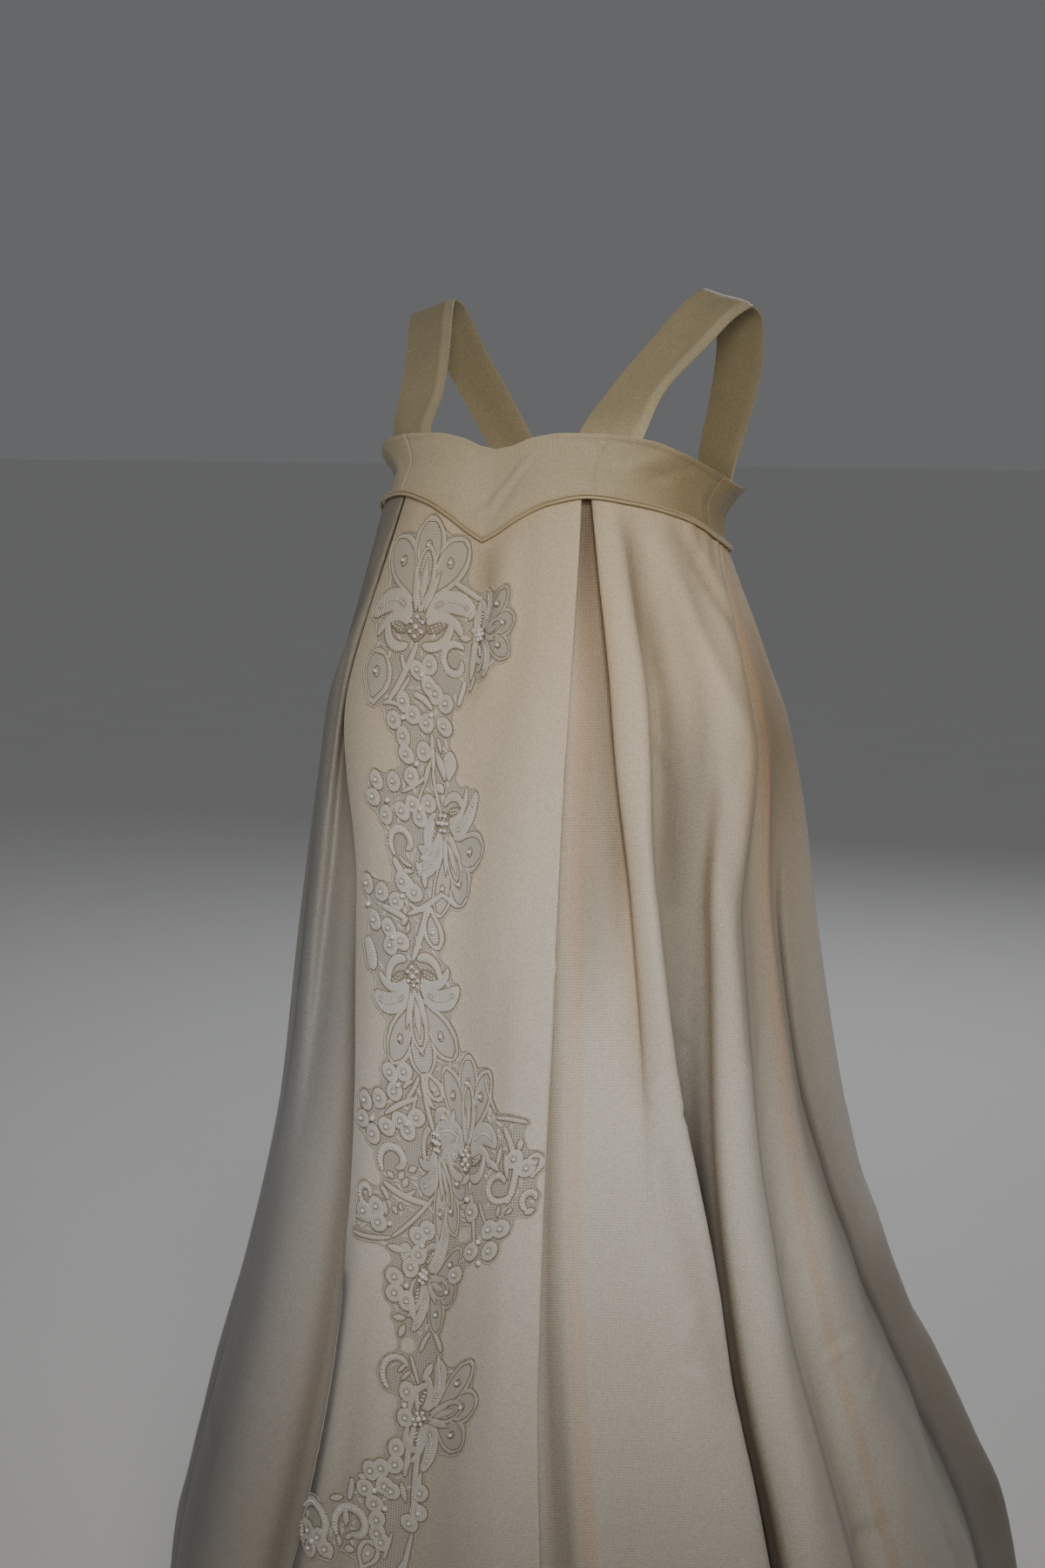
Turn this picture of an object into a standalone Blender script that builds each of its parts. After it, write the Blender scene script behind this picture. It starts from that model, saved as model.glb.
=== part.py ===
"""Empire-line wedding dress with wide straps, filled out as if worn, open at the neck, armholes and hem.

Metres, +Z up. The origin is midway between the tops of the two shoulder straps, the front faces -Y and the
wearer's left is +X. Every piece of cloth is a thin wall through cross-sections: a plain rounded section for each
height, and a table of fold lines that says how far each ridge or hollow stands off it.
"""

import math
from collections import namedtuple

import bmesh
import bpy
import numpy as np
from mathutils.geometry import delaunay_2d_cdt

# ---------------------------------------------------------------- driving dimensions

CLOTH = 0.0012  # skirt satin with its hem and seam turnings, as one wall
BAND_CLOTH = 0.0018  # the bodice band is satin over a firm backing
STRAP_CLOTH = 0.0020
SEAM_GAP = 0.0003
YOKE_GAP = 0.0008  # between band and skirt, where both walls lean
AXIS_Y = -0.035  # the trunk of the dress stands this far in front of the shoulder line
HEM_Z = -1.405

# Plain sections of the skirt. `down` is the share of the way from the empire seam to the hem, and `square`
# is 2 for an ellipse and more for a flatter front and sides.
Section = namedtuple("Section", "down half_width front_depth back_depth square")
SKIRT_SECTIONS = (
    Section(0.000, 0.155, 0.124, 0.108, 2.30),
    Section(0.066, 0.182, 0.147, 0.150, 2.20),
    Section(0.148, 0.213, 0.175, 0.195, 2.10),
    Section(0.279, 0.235, 0.203, 0.232, 2.00),
    Section(0.426, 0.256, 0.224, 0.284, 2.00),
    Section(0.557, 0.292, 0.249, 0.356, 2.00),
    Section(0.689, 0.344, 0.270, 0.458, 2.00),
    Section(0.828, 0.390, 0.286, 0.545, 2.00),
    Section(1.000, 0.412, 0.296, 0.590, 2.00),
)

# The bodice band, from the empire seam (0) to its top edge (1).
BAND_SECTIONS = (
    Section(0.00, 0.155, 0.124, 0.108, 2.30),
    Section(0.25, 0.150, 0.121, 0.117, 2.25),
    Section(0.50, 0.148, 0.115, 0.126, 2.20),
    Section(0.75, 0.153, 0.108, 0.134, 2.30),
    Section(1.00, 0.162, 0.103, 0.141, 2.40),
)

# Heights of the band's two edges, by angle from the centre front. Both sides are alike.
Edge = namedtuple("Edge", "angle seam_z top_z")
BAND_EDGES = (
    Edge(0, -0.2030, -0.1275),
    Edge(5, -0.1960, -0.1250),
    Edge(12, -0.1840, -0.1180),
    Edge(22, -0.1715, -0.1140),
    Edge(33, -0.1660, -0.1145),
    Edge(48, -0.1715, -0.1195),
    Edge(62, -0.1800, -0.1305),
    Edge(75, -0.1900, -0.1410),
    Edge(90, -0.2035, -0.1500),
    Edge(110, -0.2140, -0.1610),
    Edge(145, -0.2200, -0.1660),
    Edge(180, -0.2210, -0.1670),
)

# One row for each fold line of the skirt, from the centre front round the wearer's left to the centre back.
# Angles are in degrees at the yoke, hip, thigh, knee and hem, and `out` is the stand-off there in millimetres.
# The cloth is pulled towards each line without quite reaching it, and only a crisp line holds a pressed edge.
FOLD_LEVELS = (0.0, 0.130, 0.262, 0.557, 1.0)
Fold = namedtuple("Fold", "name crisp yoke hip thigh knee hem out_yoke out_hip out_thigh out_knee out_hem")
FRONT_FOLD = Fold("centre valley", False, 0.0, 3.0, 5.0, 3.8, 1.5, 0, -5, -8, -15, -19)
LEFT_FOLDS = (
    Fold("panel roll", False, 16.0, 16.5, 17.0, 14.0, 13.0, 0, 3, 4, 6, 7),
    Fold("panel edge", True, 31.5, 27.8, 26.1, 22.6, 19.5, 0, 2, 2, 2, 3),
    Fold("pleat return", True, 24.0, 20.5, 19.5, 17.0, 14.8, -4, -4, -6, -7, -6),
    Fold("pleat seam", False, 32.0, 29.2, 28.6, 29.7, 28.0, -8, -11, -13, -11, -8),
    Fold("underlay", False, 35.0, 34.5, 36.5, 38.0, 37.0, -9, -13, -15, -3, 1),
    Fold("pleat tuck", False, 39.0, 42.0, 47.0, 43.0, 44.0, -9, -14, -17, 3, 5),
    Fold("pleat nose", False, 31.0, 34.5, 40.5, 47.0, 48.5, 0, -3, -4, 6, 8),
    Fold("first ridge", False, 36.5, 40.0, 45.0, 52.0, 52.5, 0, 5, 8, 9, 12),
    Fold("ridge edge", False, 42.0, 45.5, 49.0, 57.5, 56.8, 0, 4, 1, 6, 9),
    Fold("gap front", False, 47.0, 49.5, 51.0, 56.3, 56.0, 0, -10, -24, -48, -62),
    Fold("gap back", False, 62.0, 63.0, 59.0, 58.4, 57.6, 0, -12, -26, -50, -62),
    Fold("second ridge front", False, 74.0, 67.5, 61.0, 58.8, 58.4, 0, 0, -4, -4, 6),
    Fold("second ridge", False, 81.0, 75.0, 65.5, 65.0, 66.5, 0, 10, 10, 13, 18),
    Fold("second ridge back", False, 87.0, 80.0, 69.5, 71.5, 76.0, 0, 4, -2, -3, 6),
    Fold("side hollow", False, 89.5, 83.0, 74.0, 76.0, 78.5, 0, -10, -13, -17, -14),
    Fold("side seam", False, 92.0, 86.0, 79.0, 81.0, 80.5, 0, -6, -9, -8, -4),
    Fold("side ridge", False, 95.0, 90.5, 81.5, 91.0, 104.0, 0, -2, -4, 10, 16),
    Fold("side crease", False, 98.0, 96.0, 85.0, 103.0, 126.0, 0, -4, -10, -14, -26),
    Fold("back ridge", False, 108.0, 107.0, 102.0, 118.0, 134.0, 0, 6, 9, 17, 70),
    Fold("back hollow", False, 119.0, 118.0, 116.0, 128.0, 145.0, 0, -4, -7, -10, -24),
    Fold("middle ridge", False, 131.0, 131.0, 131.0, 140.0, 152.0, 0, 5, 8, 14, 24),
    Fold("middle hollow", False, 143.0, 144.0, 145.0, 150.5, 159.0, 0, -4, -7, -12, -22),
    Fold("inner ridge", False, 155.0, 156.0, 157.0, 161.0, 165.0, 0, 4, 7, 12, 20),
    Fold("inner hollow", False, 168.0, 168.0, 168.0, 170.0, 171.5, 0, -3, -5, -8, -13),
)
BACK_FOLD = Fold("back seam", False, 180.0, 180.0, 180.0, 180.0, 180.0, 0, 0, 0, -1, -3)

# The wearer's right is the same cut and hangs a little differently: a row replaces the mirrored one.
RIGHT_CHANGES = {
    "panel roll": (17.0, 19.0, 12.0, 8.5, 16.0, 0, 9, 9, 12, 10),
    "panel edge": (33.0, 34.5, 22.0, 14.5, 26.5, 0, 6, 5, 7, 5),
    "pleat return": (26.0, 26.5, 16.0, 9.5, 20.5, -4, -1, -3, -2, -4),
    "pleat seam": (34.0, 34.5, 26.0, 20.0, 32.5, -9, -9, -12, -12, -11),
    "underlay": (36.5, 38.5, 33.0, 29.0, 38.5, -10, -11, -14, -8, -3),
    "pleat tuck": (40.0, 44.0, 43.0, 36.0, 44.5, -10, -11, -14, 0, 3),
    "pleat nose": (33.5, 38.5, 39.0, 42.0, 48.5, 0, 0, -2, 6, 8),
    "first ridge": (38.0, 45.0, 45.0, 48.0, 51.0, 0, 6, 7, 12, 14),
    "ridge edge": (43.0, 50.0, 51.0, 55.0, 57.0, 0, 4, 3, 8, 8),
    "gap front": (49.0, 54.0, 55.0, 58.0, 58.5, 0, -6, -10, -24, -38),
    "gap back": (62.0, 62.0, 60.5, 61.0, 61.0, 0, -6, -10, -24, -38),
    "second ridge front": (72.0, 68.0, 63.0, 63.0, 62.5, 0, 2, -2, -2, 4),
    "second ridge": (80.0, 75.0, 69.0, 69.0, 69.5, 0, 8, 8, 12, 15),
    "side crease": (98.0, 96.0, 86.0, 101.0, 115.0, 0, -4, -9, -12, -20),
    "back ridge": (106.0, 106.0, 104.0, 114.0, 127.0, 0, 5, 8, 14, 26),
    "back hollow": (118.0, 119.0, 119.0, 126.0, 138.0, 0, -5, -8, -12, -20),
    "middle ridge": (130.0, 130.0, 131.0, 138.0, 149.0, 0, 6, 10, 17, 28),
    "middle hollow": (141.0, 142.0, 144.0, 149.0, 157.0, 0, -4, -6, -10, -18),
}

# The lace applique, flat on the centre panel: millimetres across from the centre valley (the wearer's left is
# positive) and below the dip of the empire seam. A motif starts there and runs along its length, `turn` degrees
# round from the wearer's left towards the hem, and curves by `bend` degrees on the way.
Motif = namedtuple("Motif", "kind across below length width turn bend")
LACE = (
    # first flower, under the seam
    Motif("petal", -56, 72, 64, 39, -90, 0),
    Motif("petal", -69, 77, 55, 44, -120, -25),
    Motif("petal", -49, 68, 66, 30, -75, 25),
    Motif("petal", -57, 87, 35, 14, -105, 0),
    Motif("petal", -51, 84, 41, 18, -100, 0),
    Motif("petal", -47, 81, 36, 10, -80, 0),
    Motif("floret", -57, 93, 17, 17, 0, 0),
    Motif("stem", -62, 88, 72, 16, -120, -130),
    Motif("stem", -52, 83, 63, 15, -95, 140),
    Motif("stem", -61, 92, 68, 10, -130, -150),
    Motif("stem", -61, 97, 38, 14, 105, 150),
    Motif("stem", -52, 95, 37, 13, 40, -150),
    Motif("stem", -50, 87, 44, 10, -50, 80),
    Motif("leaf", -44, 55, 53, 9, 5, -20),
    Motif("petal", 15, 114, 72, 45, -115, 50),
    Motif("scroll", -7, 99, 43, 10, 70, 290),
    Motif("stem", -3, 103, 53, 8, -75, -30),
    Motif("floret", -10, 80, 14, 14, 0, 0),
    Motif("stem", -56, 99, 59, 7, 95, 25),
    Motif("petal", -82, 163, 45, 36, -100, -20),
    # first field of small flowers
    Motif("stem", -48, 99, 71, 37, 65, 10),
    Motif("stem", -30, 163, 37, 18, 170, 0),
    Motif("floret", -15, 137, 16, 16, 0, 0),
    Motif("floret", -17, 157, 14, 14, 0, 0),
    Motif("floret", -71, 170, 14, 14, 0, 0),
    Motif("floret", -60, 179, 14, 14, 0, 0),
    Motif("stem", -40, 167, 44, 30, 95, 0),
    Motif("stem", -45, 201, 56, 27, 130, 0),
    Motif("stem", -33, 207, 35, 21, 100, 0),
    Motif("floret", -85, 223, 13, 13, 0, 0),
    Motif("floret", -89, 237, 13, 13, 0, 0),
    Motif("floret", -74, 247, 13, 13, 0, 0),
    Motif("floret", -57, 238, 14, 14, 0, 0),
    Motif("floret", -25, 222, 13, 13, 0, 0),
    Motif("leaf", -25, 164, 41, 13, 75, -20),
    Motif("stem", -30, 169, 64, 6, 75, 10),
    # side flower and scroll
    Motif("floret", -15, 233, 17, 17, 0, 0),
    Motif("stem", -16, 234, 48, 18, 0, -110),
    Motif("petal", -15, 233, 49, 21, 20, 10),
    Motif("petal", -15, 237, 64, 21, 75, -15),
    Motif("petal", -17, 238, 48, 22, 90, 10),
    Motif("leaf", -19, 237, 37, 11, 120, -20),
    Motif("petal", -15, 237, 47, 12, 80, 0),
    Motif("petal", -15, 226, 29, 13, -75, 0),
    Motif("floret", -35, 268, 16, 16, 0, 0),
    Motif("stem", -35, 271, 28, 7, 120, 0),
    Motif("scroll", -46, 268, 46, 8, -60, -250),
    Motif("stem", -45, 265, 14, 7, 10, 0),
    Motif("stem", -65, 269, 31, 9, 80, -20),
    Motif("stem", -44, 290, 68, 24, 140, 0),
    Motif("floret", -93, 314, 16, 16, 0, 0),
    Motif("floret", -93, 336, 16, 16, 0, 0),
    Motif("floret", -76, 338, 14, 14, 0, 0),
    Motif("floret", -57, 315, 14, 14, 0, 0),
    Motif("leaf", -20, 282, 57, 22, 85, -20),
    # second flower
    Motif("stem", -20, 279, 87, 8, 95, 15),
    Motif("petal", -32, 311, 32, 17, 65, -30),
    Motif("floret", -61, 343, 19, 19, 0, 0),
    Motif("stem", -66, 345, 41, 6, -30, 0),
    Motif("stem", -81, 325, 27, 12, 45, 0),
    Motif("stem", -87, 353, 28, 13, 80, -30),
    Motif("floret", -39, 368, 21, 21, 0, 0),
    Motif("stem", -42, 362, 51, 14, -155, -120),
    Motif("stem", -40, 370, 48, 13, 175, -60),
    Motif("stem", -37, 361, 32, 17, -30, 90),
    Motif("stem", -35, 369, 37, 15, 0, 50),
    Motif("petal", -41, 372, 42, 13, 95, 0),
    Motif("petal", -36, 370, 45, 17, 85, 0),
    Motif("petal", -34, 370, 30, 12, 70, 0),
    Motif("petal", -44, 386, 54, 28, 90, 15),
    Motif("petal", -32, 401, 45, 30, 80, 0),
    Motif("petal", -26, 377, 46, 23, 65, -10),
    Motif("stem", -20, 353, 35, 6, 40, 40),
    Motif("stem", -27, 439, 54, 8, 80, -15),
    Motif("leaf", -23, 441, 27, 16, 55, -20),
    Motif("petal", -27, 451, 23, 14, 175, 0),
    Motif("leaf", -26, 449, 52, 14, 110, 25),
    # second field and left scrolls
    Motif("stem", -32, 469, 57, 22, 150, 0),
    Motif("stem", -60, 497, 37, 19, -20, 0),
    Motif("floret", -76, 478, 14, 14, 0, 0),
    Motif("floret", -82, 503, 14, 14, 0, 0),
    Motif("floret", -68, 502, 13, 13, 0, 0),
    Motif("floret", -52, 503, 14, 14, 0, 0),
    Motif("floret", -37, 499, 14, 14, 0, 0),
    Motif("floret", -11, 497, 17, 17, 0, 0),
    Motif("stem", -17, 489, 44, 11, 65, 70),
    Motif("leaf", -10, 494, 37, 12, 95, 20),
    Motif("petal", -7, 498, 28, 14, -80, 0),
    Motif("scroll", -42, 528, 53, 10, -30, -280),
    Motif("stem", -58, 521, 46, 8, 70, -30),
    Motif("stem", -54, 500, 14, 8, 65, 0),
    Motif("scroll", -62, 557, 45, 7, -90, -300),
    Motif("stem", -65, 554, 17, 7, -5, 0),
    Motif("stem", -47, 544, 55, 10, 100, 60),
    Motif("stem", -87, 584, 64, 8, 10, -60),
    Motif("leaf", -52, 582, 60, 10, -55, 20),
    # branch over the valley
    Motif("stem", -12, 497, 38, 10, 15, 30),
    Motif("floret", 21, 514, 22, 22, 0, 0),
    Motif("petal", 21, 510, 89, 27, -90, -10),
    Motif("petal", 22, 509, 65, 22, -85, 15),
    Motif("stem", 22, 509, 32, 11, -75, 90),
    Motif("stem", 22, 517, 24, 8, 5, -60),
    Motif("stem", 30, 509, 42, 20, -5, 20),
    Motif("scroll", 62, 533, 51, 7, 70, 290),
    Motif("stem", 62, 544, 53, 9, -60, -60),
    Motif("stem", 59, 497, 41, 7, -10, 90),
    Motif("floret", 88, 514, 17, 17, 0, 0),
    Motif("leaf", 50, 490, 27, 9, 5, -25),
    Motif("scroll", 92, 542, 33, 7, -120, -250),
    Motif("stem", 66, 526, 22, 6, 35, 0),
    Motif("leaf", 5, 511, 59, 18, 80, 0),
    Motif("leaf", 16, 514, 46, 12, 65, 0),
    Motif("stem", 27, 538, 61, 23, 75, 0),
    Motif("floret", 50, 569, 13, 13, 0, 0),
    Motif("floret", 60, 568, 11, 11, 0, 0),
    Motif("floret", 53, 585, 13, 13, 0, 0),
    Motif("floret", 47, 596, 13, 13, 0, 0),
    # third flower
    Motif("leaf", 7, 557, 44, 18, 85, 25),
    Motif("petal", 13, 564, 29, 13, 70, 0),
    Motif("stem", 4, 550, 58, 6, 100, 15),
    Motif("stem", -9, 570, 49, 18, 110, 0),
    Motif("stem", -28, 611, 24, 19, 110, 0),
    Motif("floret", -24, 579, 13, 13, 0, 0),
    Motif("floret", -28, 633, 13, 13, 0, 0),
    Motif("floret", -12, 607, 19, 19, 0, 0),
    Motif("petal", -11, 605, 52, 16, 80, 10),
    Motif("petal", -17, 610, 48, 12, 90, 15),
    Motif("petal", -7, 608, 30, 21, 45, 0),
    Motif("leaf", -5, 614, 44, 14, 70, -10),
    Motif("petal", -8, 601, 25, 9, 0, 0),
    Motif("stem", -10, 650, 70, 11, 100, -25),
    Motif("stem", 10, 649, 70, 8, 85, 25),
    Motif("leaf", -20, 650, 29, 9, 85, 0),
    Motif("scroll", -27, 679, 43, 9, -150, -220),
    Motif("stem", -34, 701, 31, 10, 40, -20),
    Motif("stem", -28, 679, 19, 7, -5, 0),
    # fourth flower and last scrolls
    Motif("floret", -9, 722, 19, 19, 0, 0),
    Motif("leaf", -2, 712, 55, 17, -45, -15),
    Motif("petal", -5, 716, 57, 23, -10, 0),
    Motif("petal", -4, 720, 48, 23, 60, -20),
    Motif("petal", -8, 721, 45, 13, 85, 0),
    Motif("petal", -11, 722, 43, 15, 95, 20),
    Motif("stem", -19, 745, 56, 18, 125, 0),
    Motif("stem", -34, 783, 53, 21, 95, 0),
    Motif("floret", -61, 798, 14, 14, 0, 0),
    Motif("floret", -52, 800, 14, 14, 0, 0),
    Motif("stem", -63, 798, 27, 7, -15, 0),
    Motif("floret", -77, 836, 13, 13, 0, 0),
    Motif("stem", -7, 757, 99, 17, 90, 10),
    Motif("stem", -8, 772, 45, 12, 90, -15),
    Motif("scroll", -83, 847, 89, 10, -50, -290),
    Motif("scroll", -56, 834, 61, 10, -30, -280),
    Motif("stem", -118, 857, 48, 13, 25, -40),
    Motif("stem", -74, 840, 33, 13, 45, -30),
    Motif("petal", -15, 852, 37, 15, -170, -30),
    Motif("stem", -50, 822, 16, 9, 10, 0),
    Motif("stem", -37, 833, 23, 12, 20, 0),
    Motif("stem", -16, 846, 168, 14, 90, 5),
    Motif("leaf", -20, 880, 46, 20, 140, 30),
    Motif("leaf", -18, 905, 46, 20, 35, -30),
    Motif("floret", -26, 1012, 24, 24, 0, 0),
    Motif("petal", -26, 1008, 68, 34, 95, 0),
    Motif("petal", -30, 1008, 60, 30, 135, -15),
    Motif("petal", -22, 1008, 60, 30, 55, 15),
    Motif("petal", -30, 1004, 48, 22, 175, -40),
    Motif("petal", -22, 1004, 48, 22, 15, 40),
)
LACE_PROFILES = {
    "petal": ((0.0, 0.20), (0.35, 0.80), (0.68, 1.00), (0.92, 0.62)),
    "leaf": ((0.0, 0.15), (0.30, 0.90), (0.60, 0.90)),
    "stem": ((0.0, 0.80), (0.33, 1.00), (0.67, 1.00), (1.0, 0.70)),
    "scroll": ((0.0, 0.90), (0.17, 1.00), (0.34, 1.00), (0.51, 1.00), (0.68, 1.00), (0.84, 0.95), (1.0, 0.60)),
}
FLORET_SIDES = 6
LACE_CLOTH = 0.0011
LACE_LIFT = 0.0016  # from the middle of the panel's wall to the underside of the lace
LACE_MERGE = 0.02  # millimetres

PRESSED_GAP = 0.0035  # between the two layers at a pressed edge
PRESSED_REACH = 0.0022  # how far from a pressed edge its bend begins
SKIRT_ROWS = (0.0, 0.03, 0.066, 0.105, 0.148, 0.205, 0.262, 0.33, 0.40, 0.475, 0.557, 0.64, 0.73, 0.82, 0.91, 1.0)
SKIRT_SAMPLES = (0.0, 0.5)  # where the mesh has its columns along each fold line's bend
PANEL_LENGTH = -0.203 - HEM_Z
BAND_ROWS = 5

PIPING_RADIUS = 0.0019
PIPING_GAP = 0.0010  # to the band, and PIPING_LIFT keeps it clear of the skirt, which flares out below it
PIPING_LIFT = 0.0010
PIPING_POINTS = 96
PIPING_SIDES = 6

STRAP_WIDTH = 0.047
STRAP_TUCK = 0.15  # share of the band's height that a strap's end is sewn down inside it
STRAP_TUCK_GAP = 0.0014
STRAP_ROWS = 24
STRAP_COLUMNS = 4
STRAP_FRONT_ANGLES = (26.0, 46.0)  # where the strap's inner and outer edge meet the band
STRAP_BACK_ANGLES = (153.0, 135.0)
SHOULDER_SLOPE = math.radians(16)
# The middle of the wearer's left strap between the two edges of the band, over the shoulder. `turn` is how far
# it is turned to face sideways, in degrees, and `slope` the share of the shoulder's slope that it lies on.
StrapPoint = namedtuple("StrapPoint", "x y z turn slope")
STRAP_ROUTE = (
    StrapPoint(0.1060, -0.0900, -0.0800, 6, 0.3),
    StrapPoint(0.1270, -0.0440, -0.0345, 2, 0.8),
    StrapPoint(0.1420, -0.0150, -0.0070, 0, 1.0),
    StrapPoint(0.1480, 0.0000, 0.0000, 0, 1.0),
    StrapPoint(0.1480, 0.0160, -0.0060, 0, 1.0),
    StrapPoint(0.1420, 0.0370, -0.0380, -2, 0.8),
    StrapPoint(0.1240, 0.0600, -0.0880, -8, 0.4),
    StrapPoint(0.1050, 0.0750, -0.1350, -16, 0.1),
)


# ---------------------------------------------------------------- smooth tables and sections


def smooth_value(places, values, place):
    """A smooth curve through a short table that never overshoots it (cubic, with limited slopes)."""
    places = np.asarray(places, float)
    values = np.asarray(values, float)
    steps = np.diff(places)
    slopes = np.diff(values) / steps
    tangents = np.zeros_like(values)
    rising = slopes[:-1] * slopes[1:] > 0
    before = 2 * steps[1:] + steps[:-1]
    after = steps[1:] + 2 * steps[:-1]
    safe_a = np.where(rising, slopes[:-1], 1.0)
    safe_b = np.where(rising, slopes[1:], 1.0)
    tangents[1:-1] = np.where(rising, (before + after) / (before / safe_a + after / safe_b), 0.0)
    tangents[0] = slopes[0]
    tangents[-1] = slopes[-1]
    place = np.clip(place, places[0], places[-1])
    index = np.clip(np.searchsorted(places, place, side="right") - 1, 0, len(steps) - 1)
    step = steps[index]
    t = (place - places[index]) / step
    return (
        values[index] * (1 + 2 * t) * (1 - t) ** 2
        + tangents[index] * step * t * (1 - t) ** 2
        + values[index + 1] * t * t * (3 - 2 * t)
        + tangents[index + 1] * step * t * t * (t - 1)
    )


def section_sizes(sections, down):
    places = [row.down for row in sections]
    return tuple(
        smooth_value(places, [getattr(row, column) for row in sections], down)
        for column in ("half_width", "front_depth", "back_depth", "square")
    )


def section_point(sections, down, degrees, out):
    """Plan position on the plain section at an angle from the centre front, moved out along its normal."""
    half_width, front, back, square = section_sizes(sections, down)
    angle = np.radians(degrees)
    sine = np.sin(angle)
    cosine = np.cos(angle)
    depth = np.where(cosine > 0, front, back)
    reach = (np.abs(sine) ** square + np.abs(cosine) ** square) ** (-1 / square)
    x = half_width * reach * sine
    y = -depth * reach * cosine
    normal_x = np.sign(x) * np.abs(x / half_width) ** (square - 1) / half_width
    normal_y = np.sign(y) * np.abs(y / depth) ** (square - 1) / depth
    length = np.hypot(normal_x, normal_y)
    return x + out * normal_x / length, AXIS_Y + y + out * normal_y / length


def edge_height(degrees, column):
    """Height of the empire seam or of the band's top edge at an angle from the centre front."""
    turned = np.abs((np.asarray(degrees, float) + 180) % 360 - 180)
    return smooth_value([row.angle for row in BAND_EDGES], [getattr(row, column) for row in BAND_EDGES], turned)


# ---------------------------------------------------------------- fold lines of the skirt


def right_fold(row):
    changed = RIGHT_CHANGES.get(row.name, row[2:])
    levels = len(FOLD_LEVELS)
    return Fold(row.name + " right", row.crisp, *[-angle for angle in changed[:levels]], *changed[levels:])


def fold_lines():
    """All fold lines once round the skirt, from the centre back over the right side and the front."""
    right = [right_fold(row) for row in reversed(LEFT_FOLDS)]
    return [right_fold(BACK_FOLD), *right, FRONT_FOLD, *LEFT_FOLDS, BACK_FOLD]


def control_points(down):
    """Name, angle and stand-off of each control line at one height. A pressed edge gives two, a layer apart."""
    points = []
    for row in fold_lines():
        angle = smooth_value(FOLD_LEVELS, row[2:7], down)
        out = smooth_value(FOLD_LEVELS, row[7:12], down) / 1000
        if not row.crisp:
            points.append((row.name, False, angle, out))
            continue
        inward = PRESSED_GAP
        pair = [(row.name, True, angle, out), (row.name + " under", True, angle, out - inward)]
        points.extend(reversed(pair) if row.name.endswith("right") else pair)
    return points


def skirt_columns(down, samples):
    """Angle and stand-off of each mesh column at one height, with the place of every control line among them."""
    points = control_points(down)
    half_width = section_sizes(SKIRT_SECTIONS, down)[0]
    per_degree = math.radians(1) * half_width
    flat = np.array([(angle * per_degree, out) for _, _, angle, out in points])
    columns = []
    places = {}
    once_round = np.array([360 * per_degree, 0.0])
    ring = [flat[-2] - once_round, *flat, flat[1] + once_round]
    for i, (name, crisp, _, _) in enumerate(points):
        before = ring[i] - flat[i]
        after = ring[i + 2] - flat[i]
        shares = []
        for side in (before, after):
            length = max(np.hypot(*side), 1e-6)
            shares.append(min(0.5, PRESSED_REACH / length) if crisp else 0.5)
        start = flat[i] + before * shares[0]
        end = flat[i] + after * shares[1]
        for t in samples:
            if t == 0.5:
                places[name] = len(columns)
            columns.append(start * (1 - t) ** 2 + flat[i] * 2 * t * (1 - t) + end * t * t)
    columns = np.array(columns)
    return columns[:, 0] / per_degree, columns[:, 1], places


def skirt_rows(samples):
    """Positions of the whole skirt's mesh as [row, column], and the columns where its pieces meet."""
    yoke_angles, _, places = skirt_columns(0.0, samples)
    top = edge_height(yoke_angles, "seam_z") - YOKE_GAP
    rows = []
    for down in SKIRT_ROWS:
        angles, outs, _ = skirt_columns(down, samples)
        x, y = section_point(SKIRT_SECTIONS, down, angles, outs)
        z = top + (HEM_Z - top) * down
        rows.append(np.stack([x, y, z], axis=1))
    return np.array(rows), places


def panel_grid():
    """Outer layer of the centre panel's mesh, with each point's distance across it from the centre valley."""
    rows, places = skirt_rows(SKIRT_SAMPLES)
    panel = rows[:, places["panel edge right"] : places["panel edge"] + 1]
    steps = np.linalg.norm(np.diff(panel, axis=1), axis=2)
    across = np.concatenate([np.zeros((len(panel), 1)), np.cumsum(steps, axis=1)], axis=1)
    middle = places["centre valley"] - places["panel edge right"]
    along = np.gradient(panel, axis=0)
    over = np.gradient(panel, axis=1)
    normals = np.cross(over, -along)
    normals /= np.linalg.norm(normals, axis=2, keepdims=True)
    return panel, across - across[:, middle : middle + 1], normals


def panel_point(grid, across, below, lift):
    """The point that lies `across` from the centre valley, `below` the empire seam's dip and off the cloth."""
    panel, spans, normals = grid
    down = below / PANEL_LENGTH
    i = min(np.searchsorted(SKIRT_ROWS, down, side="right") - 1, len(SKIRT_ROWS) - 2)
    v = (down - SKIRT_ROWS[i]) / (SKIRT_ROWS[i + 1] - SKIRT_ROWS[i])
    span = spans[i] * (1 - v) + spans[i + 1] * v
    j = min(max(np.searchsorted(span, across, side="right") - 1, 0), len(span) - 2)
    u = (across - span[j]) / (span[j + 1] - span[j])
    weights = ((i, j, (1 - u) * (1 - v)), (i, j + 1, u * (1 - v)), (i + 1, j, (1 - u) * v), (i + 1, j + 1, u * v))
    place = sum(panel[a, b] * weight for a, b, weight in weights)
    normal = sum(normals[a, b] * weight for a, b, weight in weights)
    return place + normal / np.linalg.norm(normal) * lift


def trimmed(rows):
    """The same rows with each end drawn back by half a seam gap."""
    rows = rows.copy()
    for end, neighbour in ((0, 1), (-1, -2)):
        step = rows[:, neighbour] - rows[:, end]
        rows[:, end] += step / np.linalg.norm(step, axis=1, keepdims=True) * SEAM_GAP / 2
    return rows


# ---------------------------------------------------------------- making solids


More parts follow.
